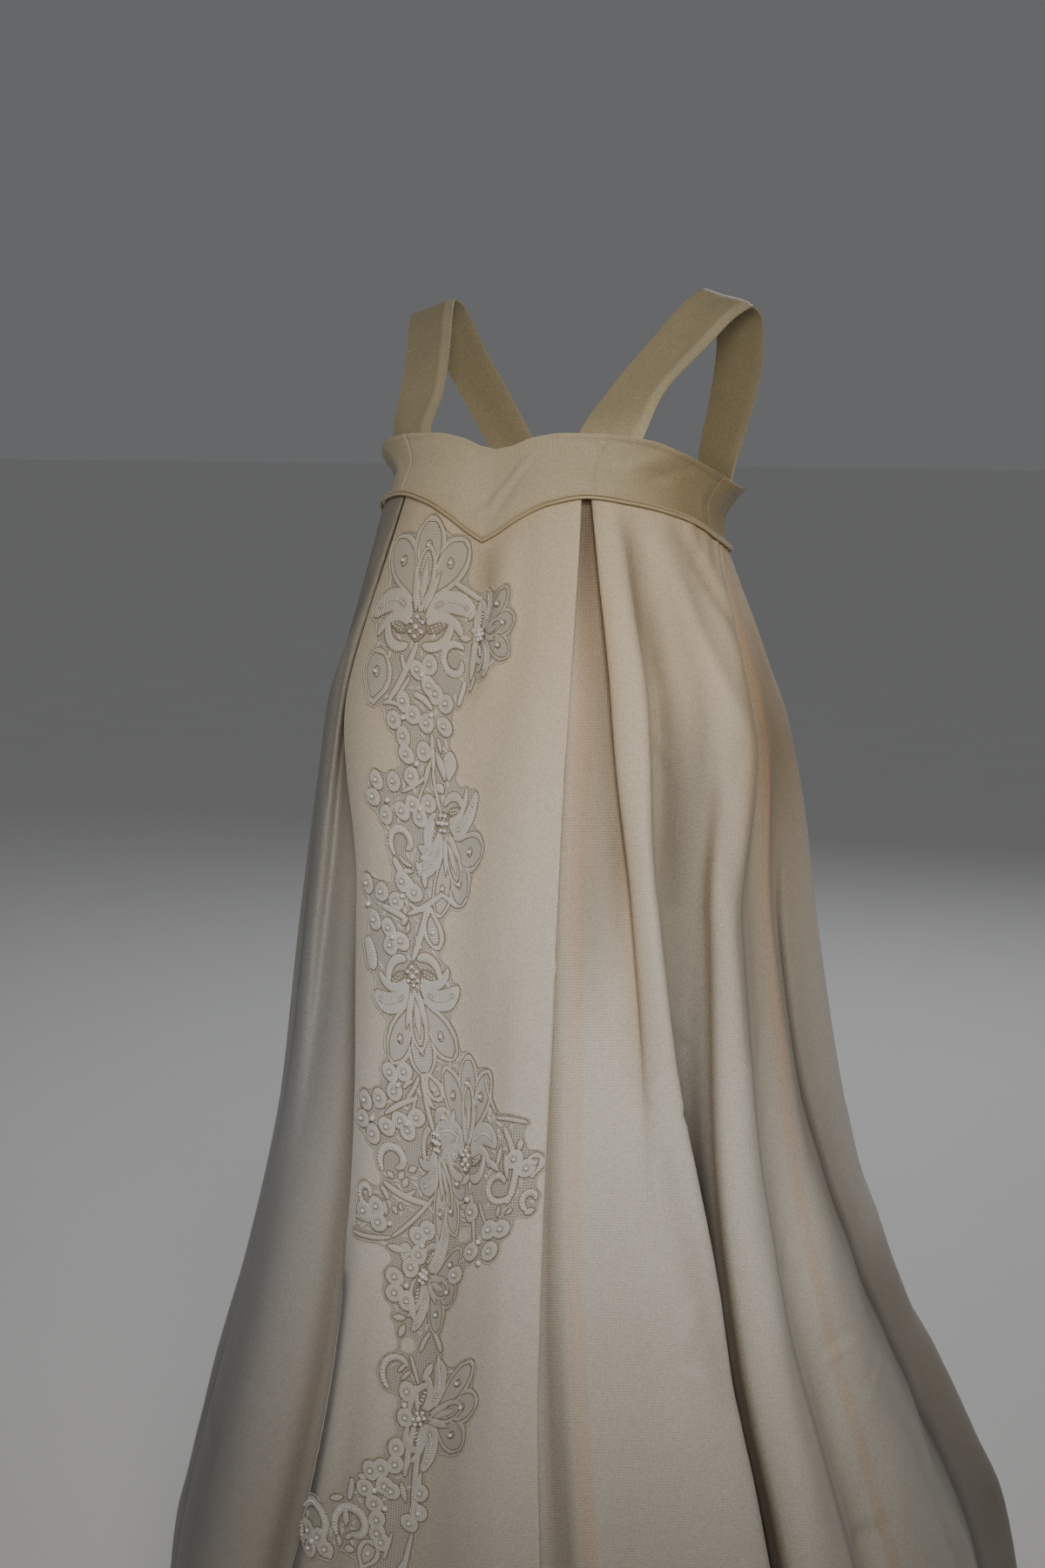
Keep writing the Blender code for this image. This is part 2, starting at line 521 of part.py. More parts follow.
def satin(name, hex_colour, roughness):
    """Principled material of woven satin: no metal, and a soft sheen left to its roughness."""
    material = bpy.data.materials.new(name)
    material.use_nodes = True
    shader = material.node_tree.nodes["Principled BSDF"]
    shade = [((int(hex_colour[i : i + 2], 16) / 255 + 0.055) / 1.055) ** 2.4 for i in (0, 2, 4)]
    shader.inputs["Base Color"].default_value = (*shade, 1.0)
    shader.inputs["Roughness"].default_value = roughness
    shader.inputs["Metallic"].default_value = 0.0
    material.diffuse_color = (*shade, 1.0)
    return material


def cloth_wall(name, rows, thickness, material):
    """A wall of cloth through a grid of points given as [row, column]."""
    row_count, column_count = rows.shape[:2]
    mesh = bmesh.new()
    bmesh.ops.create_grid(mesh, x_segments=column_count - 1, y_segments=row_count - 1, size=1.0)
    for vertex in mesh.verts:
        column = round((vertex.co.x + 1) / 2 * (column_count - 1))
        row = round((1 - vertex.co.y) / 2 * (row_count - 1))
        vertex.co = rows[row, column]
    data = bpy.data.meshes.new(name)
    mesh.to_mesh(data)
    mesh.free()
    data.shade_smooth()
    piece = bpy.data.objects.new(name, data)
    bpy.context.scene.collection.objects.link(piece)
    data.materials.append(material)
    wall = piece.modifiers.new("cloth thickness", "SOLIDIFY")
    wall.thickness = thickness
    wall.offset = 0.0
    wall.use_even_offset = True
    return piece


# ---------------------------------------------------------------- the pieces


def make_skirt(material):
    rows, places = skirt_rows(SKIRT_SAMPLES)
    seams = {
        "skirt_back_right": ("back seam right", "side seam right"),
        "skirt_side_right": ("side seam right", "pleat seam right"),
        "skirt_front": ("pleat seam right", "pleat seam"),
        "skirt_side_left": ("pleat seam", "side seam"),
        "skirt_back_left": ("side seam", "back seam"),
    }
    for name, (start, end) in seams.items():
        piece = trimmed(rows[:, places[start] : places[end] + 1])
        cloth_wall(name, piece, CLOTH, material)


def band_point(degrees, up, inset=0.0):
    """A point of the band at an angle, and a share of its height above the empire seam."""
    x, y = section_point(BAND_SECTIONS, up, degrees, -inset)
    low = edge_height(degrees, "seam_z")
    high = edge_height(degrees, "top_z")
    return np.stack([x, y, low + (high - low) * up + 0 * x], axis=-1)


def make_band(material):
    """Five panels: centre front, two side fronts and two backs."""
    panels = {
        "bodice_back_right": (-180, -88, 15),
        "bodice_side_right": (-88, -36, 10),
        "bodice_front": (-36, 36, 16),
        "bodice_side_left": (36, 88, 10),
        "bodice_back_left": (88, 180, 15),
    }
    for name, (start, end, columns) in panels.items():
        angles = np.linspace(start, end, columns + 1)
        ups = np.linspace(1, 0, BAND_ROWS + 1)
        rows = np.array([band_point(angles, np.full_like(angles, up)) for up in ups])
        cloth_wall(name, trimmed(rows), BAND_CLOTH, material)


def make_piping(material):
    """A cord covered in satin, lying just outside the empire seam all the way round."""
    stand_off = PIPING_RADIUS + BAND_CLOTH / 2 + PIPING_GAP
    share = np.linspace(-1, 1, PIPING_POINTS, endpoint=False)
    angles = 180 * share
    x, y = section_point(BAND_SECTIONS, 0.0, angles, stand_off)
    z = edge_height(angles, "seam_z") + PIPING_LIFT
    route = np.stack([x, y, z], axis=1)
    ahead = np.roll(route, -1, axis=0) - np.roll(route, 1, axis=0)
    ahead /= np.linalg.norm(ahead, axis=1, keepdims=True)
    side = np.stack([x, y - AXIS_Y, 0 * z], axis=1)
    side -= ahead * (side * ahead).sum(axis=1, keepdims=True)
    side /= np.linalg.norm(side, axis=1, keepdims=True)
    rise = np.cross(ahead, side)
    mesh = bmesh.new()
    rings = []
    for place, outward, upward in zip(route, side, rise):
        ring = []
        for turn in np.linspace(0, 2 * math.pi, PIPING_SIDES, endpoint=False):
            offset = outward * math.cos(turn) + upward * math.sin(turn)
            ring.append(mesh.verts.new(place + PIPING_RADIUS * offset))
        rings.append(ring)
    for ring, following in zip(rings, rings[1:] + rings[:1]):
        for k in range(PIPING_SIDES):
            n = (k + 1) % PIPING_SIDES
            mesh.faces.new((ring[k], following[k], following[n], ring[n]))
    bmesh.ops.recalc_face_normals(mesh, faces=mesh.faces[:])
    data = bpy.data.meshes.new("piping")
    mesh.to_mesh(data)
    mesh.free()
    data.shade_smooth()
    data.materials.append(material)
    bpy.context.scene.collection.objects.link(bpy.data.objects.new("piping", data))


def strap_tuck(angles, ups):
    """Rows of a strap's end where it lies against the inside of the band, from its inner to its outer edge."""
    inset = (BAND_CLOTH + STRAP_CLOTH) / 2 + STRAP_TUCK_GAP
    across = np.linspace(*angles, STRAP_COLUMNS + 1)
    return [band_point(across, np.full_like(across, up), inset) for up in ups]


def strap_rows(mirror):
    """The strap's points as [row along, column across]; mirror is 1 on the wearer's left and -1 on the right."""
    reach = np.linspace(-0.5, 0.5, STRAP_COLUMNS + 1)[:, None] * STRAP_WIDTH
    middle_rows = []
    for point in STRAP_ROUTE:
        turn = math.radians(point.turn)
        tilt = SHOULDER_SLOPE * point.slope
        across = np.array([math.cos(turn) * math.cos(tilt), math.sin(turn) * math.cos(tilt), -math.sin(tilt)])
        middle_rows.append(np.array(point[:3]) + reach * across)
    front = strap_tuck(STRAP_FRONT_ANGLES, (1 - STRAP_TUCK, 1.0))
    back = strap_tuck(STRAP_BACK_ANGLES, (1.0, 1 - STRAP_TUCK))
    keys = np.array([*front, *middle_rows, *back])
    steps = np.linalg.norm(np.diff(keys.mean(axis=1), axis=0), axis=1)
    lengths = np.concatenate([[0.0], np.cumsum(steps)])
    along = np.linspace(0, lengths[-1], STRAP_ROWS + 1)
    rows = [[smooth_value(lengths, keys[:, j, k], along) for k in range(3)] for j in range(STRAP_COLUMNS + 1)]
    return np.transpose(rows, (2, 0, 1)) * np.array([mirror, 1, 1])


def make_straps(material):
    cloth_wall("strap_left", strap_rows(1), STRAP_CLOTH, material)
    cloth_wall("strap_right", strap_rows(-1), STRAP_CLOTH, material)


def motif_outline(motif):
    """Corners of one flat motif in millimetres, anticlockwise as the joining of outlines needs."""
    place = np.array([motif.across, motif.below], float)
    if motif.kind == "floret":
        turns = np.radians(np.arange(FLORET_SIDES) * 360 / FLORET_SIDES + motif.turn)
        return place + motif.width / 2 * np.stack([np.cos(turns), np.sin(turns)], axis=1)
    one_side = []
    other_side = []
    profile = LACE_PROFILES[motif.kind]
    heading = math.radians(motif.turn)
    along = 0.0
    for share, breadth in profile:
        step = (share - along) * motif.length
        heading += math.radians(motif.bend) * (share - along) / 2
        place = place + step * np.array([math.cos(heading), math.sin(heading)])
        heading += math.radians(motif.bend) * (share - along) / 2
        along = share
        aside = motif.width / 2 * breadth * np.array([-math.sin(heading), math.cos(heading)])
        one_side.append(place - aside)
        other_side.append(place + aside)
    tip = [place + (1 - along) * motif.length * np.array([math.cos(heading), math.sin(heading)])] if along < 1 else []
    return np.array([*one_side, *tip, *reversed(other_side)])


def joined_motifs(motifs):
    """The motifs joined into flat faces, in millimetres."""
    points = []
    outlines = []
    for motif in motifs:
        outline = motif_outline(motif)
        outlines.append(list(range(len(points), len(points) + len(outline))))
        points.extend(outline.tolist())
    corners, _, faces, _, _, owners = delaunay_2d_cdt(points, [], outlines, 0, LACE_MERGE, True)
    mesh = bmesh.new()
    verts = [mesh.verts.new((x, y, 0)) for x, y in corners]
    for face, owner in zip(faces, owners):
        if owner:
            mesh.faces.new([verts[i] for i in face])
    return mesh


def keep_one_sheet(mesh):
    """Drop what touches the rest at a single corner only, and all but the largest of the pieces left."""
    while True:
        pinched = [v for v in mesh.verts if sum(e.is_boundary for e in v.link_edges) > 2]
        if not pinched:
            break
        smallest = min(pinched[0].link_faces, key=lambda face: face.calc_area())
        bmesh.ops.delete(mesh, geom=[smallest], context="FACES")
    islands = []
    waiting = set(mesh.faces)
    while waiting:
        island = set()
        edge_on = [waiting.pop()]
        while edge_on:
            face = edge_on.pop()
            island.add(face)
            near = {other for edge in face.edges for other in edge.link_faces} & waiting
            waiting -= near
            edge_on.extend(near)
        islands.append(island)
    islands.sort(key=lambda island: sum(face.calc_area() for face in island))
    spare = [face for island in islands[:-1] for face in island]
    bmesh.ops.delete(mesh, geom=spare, context="FACES")


def bisect(mesh, faces, start, end):
    """Cut flat faces along the line through two points."""
    aside = (end[1] - start[1], start[0] - end[0], 0)
    geometry = list({item for face in faces for item in (face, *face.edges, *face.verts)})
    bmesh.ops.bisect_plane(mesh, geom=geometry, dist=LACE_MERGE, plane_co=(*start, 0), plane_no=aside)


def cut_at_facets(mesh, grid):
    """Cut the flat lace where the facets of the centre panel meet, so that it can bend with them."""
    spans = grid[1] * 1000
    belows = [down * PANEL_LENGTH * 1000 for down in SKIRT_ROWS]
    for below in belows[1:-1]:
        bisect(mesh, mesh.faces, (0, below), (1, below))
    for i in range(len(belows) - 1):
        for j in range(spans.shape[1]):
            band = [face for face in mesh.faces if belows[i] < face.calc_center_median().y < belows[i + 1]]
            if band:
                bisect(mesh, band, (spans[i, j], belows[i]), (spans[i + 1, j], belows[i + 1]))


def make_lace(material):
    grid = panel_grid()
    mesh = joined_motifs(LACE)
    keep_one_sheet(mesh)
    bmesh.ops.dissolve_limit(mesh, angle_limit=math.radians(1), verts=mesh.verts[:], edges=mesh.edges[:])
    cut_at_facets(mesh, grid)
    bmesh.ops.triangulate(mesh, faces=mesh.faces[:])
    raised = bmesh.ops.extrude_face_region(mesh, geom=mesh.faces[:], use_keep_orig=True)
    for item in raised["geom"]:
        if isinstance(item, bmesh.types.BMVert):
            item.co.z = 1.0
    loose = [vertex for vertex in mesh.verts if not vertex.link_faces]
    bmesh.ops.delete(mesh, geom=loose, context="VERTS")
    bmesh.ops.recalc_face_normals(mesh, faces=mesh.faces[:])
    for vertex in mesh.verts:
        lift = LACE_LIFT + LACE_CLOTH * vertex.co.z
        vertex.co = panel_point(grid, vertex.co.x / 1000, vertex.co.y / 1000, lift)
    bmesh.ops.reverse_faces(mesh, faces=mesh.faces[:])
    data = bpy.data.meshes.new("lace")
    mesh.to_mesh(data)
    mesh.free()
    data.materials.append(material)
    bpy.context.scene.collection.objects.link(bpy.data.objects.new("lace", data))


def main():
    for old in list(bpy.data.objects):
        bpy.data.objects.remove(old)
    ivory = satin("ivory_satin", "E9DFCF", 0.42)
    make_skirt(ivory)
    make_band(ivory)
    make_piping(satin("piping_satin", "E6DAC6", 0.40))
    make_straps(satin("strap_satin", "E2D6C0", 0.42))
    make_lace(satin("corded_lace", "F1ECE2", 0.70))


main()
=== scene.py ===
import math
from collections import namedtuple

import bmesh
import bpy
import numpy as np
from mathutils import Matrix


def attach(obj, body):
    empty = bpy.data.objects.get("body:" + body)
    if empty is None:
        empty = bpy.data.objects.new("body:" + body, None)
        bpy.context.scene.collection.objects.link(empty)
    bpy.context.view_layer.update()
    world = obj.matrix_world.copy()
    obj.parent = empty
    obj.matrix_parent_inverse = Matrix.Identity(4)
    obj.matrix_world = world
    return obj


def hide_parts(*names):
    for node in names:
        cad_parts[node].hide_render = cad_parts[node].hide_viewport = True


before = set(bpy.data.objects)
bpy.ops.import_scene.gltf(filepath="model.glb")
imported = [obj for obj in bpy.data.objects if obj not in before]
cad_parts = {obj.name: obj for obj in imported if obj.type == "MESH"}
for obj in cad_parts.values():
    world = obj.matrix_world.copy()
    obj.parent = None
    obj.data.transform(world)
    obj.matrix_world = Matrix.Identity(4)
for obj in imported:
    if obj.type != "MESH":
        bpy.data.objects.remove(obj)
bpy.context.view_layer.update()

# ---------------------------------------------------------------- skirt
# Five panels of heavy ivory silk satin, cut in one length and flaring from the empire seam to the hem, with an
# inverted pleat on each side of the centre panel. The seams are pressed open, and their turnings press through
# the cloth as a peach strip. Everything below hangs in soft folds of its own weight.

HEM_Z = -1.405
AXIS_Y = -0.035  # the trunk of the dress stands this far in front of the shoulder line
YOKE_GAP = 0.0008
PANEL_LENGTH = -0.203 - HEM_Z
SKIRT_SATIN = 0.0008
PRESSED_GAP = 0.0035  # between the two layers at a pressed edge
PRESSED_REACH = 0.0022  # how far from a pressed edge its bend begins
SKIRT_STEPS = 240
BEND_SAMPLES = (0.0, 1 / 6, 1 / 3, 0.5, 2 / 3, 5 / 6)

# Plain sections from the empire seam (0) to the hem (1); `square` is 2 for an ellipse.
Section = namedtuple("Section", "down half_width front_depth back_depth square")
SKIRT_SECTIONS = (
    Section(0.000, 0.155, 0.124, 0.108, 2.30),
    Section(0.066, 0.182, 0.147, 0.150, 2.20),
    Section(0.148, 0.213, 0.175, 0.195, 2.10),
    Section(0.279, 0.235, 0.203, 0.232, 2.00),
    Section(0.426, 0.256, 0.224, 0.284, 2.00),
    Section(0.557, 0.292, 0.249, 0.356, 2.00),
    Section(0.689, 0.344, 0.270, 0.458, 2.00),
    Section(0.828, 0.390, 0.286, 0.545, 2.00),
    Section(1.000, 0.412, 0.296, 0.590, 2.00),
)

# Heights of the empire seam and of the band's top edge, by angle from the centre front, both sides alike.
Edge = namedtuple("Edge", "angle seam_z top_z")
BAND_EDGES = (
    Edge(0, -0.2030, -0.1275),
    Edge(5, -0.1960, -0.1250),
    Edge(12, -0.1840, -0.1180),
    Edge(22, -0.1715, -0.1140),
    Edge(33, -0.1660, -0.1145),
    Edge(48, -0.1715, -0.1195),
    Edge(62, -0.1800, -0.1305),
    Edge(75, -0.1900, -0.1410),
    Edge(90, -0.2035, -0.1500),
    Edge(110, -0.2140, -0.1610),
    Edge(145, -0.2200, -0.1660),
    Edge(180, -0.2210, -0.1670),
)

# One row for each fold line, from the centre front round the wearer's left to the centre back. Angles are in
# degrees at the yoke, hip, thigh, knee and hem, and `out` is the stand-off from the plain section there in
# millimetres. Only a crisp line holds a pressed edge.
FOLD_LEVELS = (0.0, 0.130, 0.262, 0.557, 1.0)
Fold = namedtuple("Fold", "name crisp yoke hip thigh knee hem out_yoke out_hip out_thigh out_knee out_hem")
FRONT_FOLD = Fold("centre valley", False, 0.0, 3.0, 5.0, 3.8, 1.5, 0, -5, -8, -15, -19)
LEFT_FOLDS = (
    Fold("panel roll", False, 16.0, 16.5, 17.0, 14.0, 13.0, 0, 3, 4, 6, 7),
    Fold("panel edge", True, 31.5, 27.8, 26.1, 22.6, 19.5, 0, 2, 2, 2, 3),
    Fold("pleat return", True, 24.0, 20.5, 19.5, 17.0, 14.8, -5, -6, -7, -7, -6),
    Fold("pleat seam", False, 32.0, 29.2, 28.2, 27.9, 26.0, -11, -15, -15, -11, -8),
    Fold("underlay", False, 35.0, 34.5, 36.5, 38.0, 37.0, -12, -17, -16, -3, 1),
    Fold("pleat tuck", False, 39.0, 42.0, 44.5, 41.5, 43.0, -12, -17, -17, 2, 5),
    Fold("pleat nose", False, 33.4, 35.6, 40.5, 47.0, 48.5, 0, -2, -4, 6, 8),
    Fold("first ridge", False, 38.0, 40.4, 45.0, 52.0, 52.5, 0, 5, 8, 9, 12),
    Fold("ridge edge", False, 42.0, 44.8, 47.0, 56.2, 56.4, 0, 5, 4, 7, 9),
    Fold("gap front", False, 46.0, 47.5, 48.6, 55.1, 55.6, -1, -12, -24, -48, -62),
    Fold("gap back", False, 62.0, 63.0, 59.0, 58.4, 57.6, 0, -12, -26, -50, -62),
    Fold("second ridge front", False, 74.0, 67.5, 61.0, 58.8, 58.4, 0, 0, -4, -4, 6),
    Fold("second ridge", False, 81.0, 75.0, 65.5, 65.0, 66.5, 0, 10, 10, 13, 18),
    Fold("second ridge back", False, 87.0, 80.0, 69.5, 71.5, 76.0, 0, 4, -2, -3, 6),
    Fold("side hollow", False, 89.5, 83.0, 74.0, 76.0, 78.5, 0, -10, -13, -17, -14),
    Fold("side seam", False, 92.0, 86.0, 79.0, 81.0, 80.5, 0, -6, -9, -8, -4),
    Fold("side ridge", False, 95.0, 90.5, 81.3, 91.0, 104.0, 0, -2, -4, 10, 16),
    Fold("side crease", False, 98.0, 95.0, 84.0, 103.5, 126.0, 0, -4, -10, -14, -26),
    Fold("back ridge", False, 108.0, 107.0, 102.0, 118.0, 134.0, 0, 6, 9, 17, 70),
    Fold("back hollow", False, 119.0, 118.0, 116.0, 128.0, 145.0, 0, -4, -7, -10, -24),
    Fold("middle ridge", False, 131.0, 131.0, 131.0, 140.0, 152.0, 0, 5, 8, 14, 24),
    Fold("middle hollow", False, 143.0, 144.0, 145.0, 150.5, 159.0, 0, -4, -7, -12, -22),
    Fold("inner ridge", False, 155.0, 156.0, 157.0, 161.0, 165.0, 0, 4, 7, 12, 20),
    Fold("inner hollow", False, 168.0, 168.0, 168.0, 170.0, 171.5, 0, -3, -5, -8, -13),
)
BACK_FOLD = Fold("back seam", False, 180.0, 180.0, 180.0, 180.0, 180.0, 0, 0, 0, -1, -3)

# The wearer's right hangs a little differently: a row replaces the mirrored one.
RIGHT_CHANGES = {
    "panel roll": (17.0, 19.0, 12.0, 8.5, 16.0, 0, 9, 9, 12, 10),
    "panel edge": (33.0, 34.5, 22.0, 14.5, 26.5, 0, 6, 5, 7, 5),
    "pleat return": (26.0, 26.5, 16.0, 9.5, 20.5, -4, -1, -3, -2, -4),
    "pleat seam": (34.0, 34.5, 26.0, 20.0, 32.5, -9, -9, -12, -12, -11),
    "underlay": (36.5, 38.5, 33.0, 29.0, 38.5, -10, -11, -14, -8, -3),
    "pleat tuck": (40.0, 44.0, 43.0, 36.0, 44.5, -10, -11, -14, 0, 3),
    "pleat nose": (33.5, 38.5, 39.0, 42.0, 48.5, 0, 1, 1, 5, 8),
    "first ridge": (38.0, 45.0, 45.0, 48.0, 51.0, 0, 3, 3, 7, 10),
    "ridge edge": (43.0, 50.0, 51.0, 55.0, 57.0, 0, 2, 1, 4, 6),
    "gap front": (49.0, 54.0, 55.0, 58.0, 58.5, 0, -4, -6, -20, -36),
    "gap back": (62.0, 62.0, 60.5, 61.0, 61.0, 0, -4, -6, -20, -36),
    "second ridge front": (72.0, 68.0, 63.0, 63.0, 62.5, 0, 2, -2, -2, 4),
    "second ridge": (80.0, 75.0, 69.0, 69.0, 69.5, 0, 8, 8, 12, 15),
    "side crease": (98.0, 96.0, 86.0, 101.0, 115.0, 0, -4, -9, -12, -20),
    "back ridge": (106.0, 106.0, 104.0, 114.0, 127.0, 0, 5, 8, 14, 26),
    "back hollow": (118.0, 119.0, 119.0, 126.0, 138.0, 0, -5, -8, -12, -20),
    "middle ridge": (130.0, 130.0, 131.0, 138.0, 149.0, 0, 6, 10, 17, 28),
    "middle hollow": (141.0, 142.0, 144.0, 149.0, 157.0, 0, -4, -6, -10, -18),
}


def smooth_value(places, values, place):
    """A smooth curve through a short table that never overshoots it (cubic, with limited slopes)."""
    places = np.asarray(places, float)
    values = np.asarray(values, float)
    steps = np.diff(places)
    slopes = np.diff(values) / steps
    tangents = np.zeros_like(values)
    rising = slopes[:-1] * slopes[1:] > 0
    before = 2 * steps[1:] + steps[:-1]
    after = steps[1:] + 2 * steps[:-1]
    safe_a = np.where(rising, slopes[:-1], 1.0)
    safe_b = np.where(rising, slopes[1:], 1.0)
    tangents[1:-1] = np.where(rising, (before + after) / (before / safe_a + after / safe_b), 0.0)
    tangents[0] = slopes[0]
    tangents[-1] = slopes[-1]
    place = np.clip(place, places[0], places[-1])
    index = np.clip(np.searchsorted(places, place, side="right") - 1, 0, len(steps) - 1)
    step = steps[index]
    t = (place - places[index]) / step
    return (
        values[index] * (1 + 2 * t) * (1 - t) ** 2
        + tangents[index] * step * t * (1 - t) ** 2
        + values[index + 1] * t * t * (3 - 2 * t)
        + tangents[index + 1] * step * t * t * (t - 1)
    )


def through(pairs, place):
    """A smooth curve through pairs of place and value."""
    places, values = zip(*pairs)
    return smooth_value(places, values, place)


def bump_at(value, middle, reach):
    """1 at the middle, falling away smoothly on both sides."""
    return np.exp(-(((value - middle) / reach) ** 2))


def section_sizes(sections, down):
    places = [row.down for row in sections]
    return tuple(
        smooth_value(places, [getattr(row, column) for row in sections], down)
        for column in ("half_width", "front_depth", "back_depth", "square")
    )


def section_point(sections, down, degrees, out):
    """Plan position on the plain section at an angle from the centre front, moved out along its normal."""
    half_width, front, back, square = section_sizes(sections, down)
    angle = np.radians(degrees)
    sine = np.sin(angle)
    cosine = np.cos(angle)
    depth = np.where(cosine > 0, front, back)
    reach = (np.abs(sine) ** square + np.abs(cosine) ** square) ** (-1 / square)
    x = half_width * reach * sine
    y = -depth * reach * cosine
    normal_x = np.sign(x) * np.abs(x / half_width) ** (square - 1) / half_width
    normal_y = np.sign(y) * np.abs(y / depth) ** (square - 1) / depth
    length = np.hypot(normal_x, normal_y)
    return x + out * normal_x / length, AXIS_Y + y + out * normal_y / length


def edge_height(degrees, column):
    """Height of the empire seam or of the band's top edge at an angle from the centre front."""
    turned = np.abs((np.asarray(degrees, float) + 180) % 360 - 180)
    return smooth_value([row.angle for row in BAND_EDGES], [getattr(row, column) for row in BAND_EDGES], turned)


def right_fold(row):
    changed = RIGHT_CHANGES.get(row.name, row[2:])
    levels = len(FOLD_LEVELS)
    return Fold(row.name + " right", row.crisp, *[-angle for angle in changed[:levels]], *changed[levels:])


def fold_lines():
    """All fold lines once round the skirt, from the centre back over the right side and the front."""
    right = [right_fold(row) for row in reversed(LEFT_FOLDS)]
    return [right_fold(BACK_FOLD), *right, FRONT_FOLD, *LEFT_FOLDS, BACK_FOLD]


def control_points(down):
    """Name, angle and stand-off of each control line at one height. A pressed edge gives two, a layer apart."""
    points = []
    for row in fold_lines():
        angle = smooth_value(FOLD_LEVELS, row[2:7], down)
        out = smooth_value(FOLD_LEVELS, row[7:12], down) / 1000
        if not row.crisp:
            points.append((row.name, False, angle, out))
            continue
        pair = [(row.name, True, angle, out), (row.name + " under", True, angle, out - PRESSED_GAP)]
        points.extend(reversed(pair) if row.name.endswith("right") else pair)
    return points


def skirt_columns(down, samples):
    """Angle and stand-off of each mesh column at one height, with the place of every control line among them."""
    points = control_points(down)
    half_width = section_sizes(SKIRT_SECTIONS, down)[0]
    per_degree = math.radians(1) * half_width
    flat = np.array([(angle * per_degree, out) for _, _, angle, out in points])
    columns = []
    places = {}
    once_round = np.array([360 * per_degree, 0.0])
    ring = [flat[-2] - once_round, *flat, flat[1] + once_round]
    for i, (name, crisp, _, _) in enumerate(points):
        before = ring[i] - flat[i]
        after = ring[i + 2] - flat[i]
        shares = []
        for side in (before, after):
            length = max(np.hypot(*side), 1e-6)
            shares.append(min(0.5, PRESSED_REACH / length) if crisp else 0.5)
        start = flat[i] + before * shares[0]
        end = flat[i] + after * shares[1]
        for t in samples:
            if t == 0.5:
                places[name] = len(columns)
            columns.append(start * (1 - t) ** 2 + flat[i] * 2 * t * (1 - t) + end * t * t)
    columns = np.array(columns)
    return columns[:, 0] / per_degree, columns[:, 1], places


def normals_of(rows):
    """Outward unit normals of points given as [row, column]."""
    turned = np.cross(np.gradient(rows, axis=1), -np.gradient(rows, axis=0))
    return turned / np.maximum(np.linalg.norm(turned, axis=2, keepdims=True), 1e-9)


def arc_lengths(rows, axis):
    """Distance along the cloth from the first row (axis 0) or column (axis 1) to each point."""
    steps = np.linalg.norm(np.diff(rows, axis=axis), axis=2)
    start = np.zeros_like(np.take(steps, [0], axis=axis))
    return np.concatenate([start, np.cumsum(steps, axis=axis)], axis=axis)


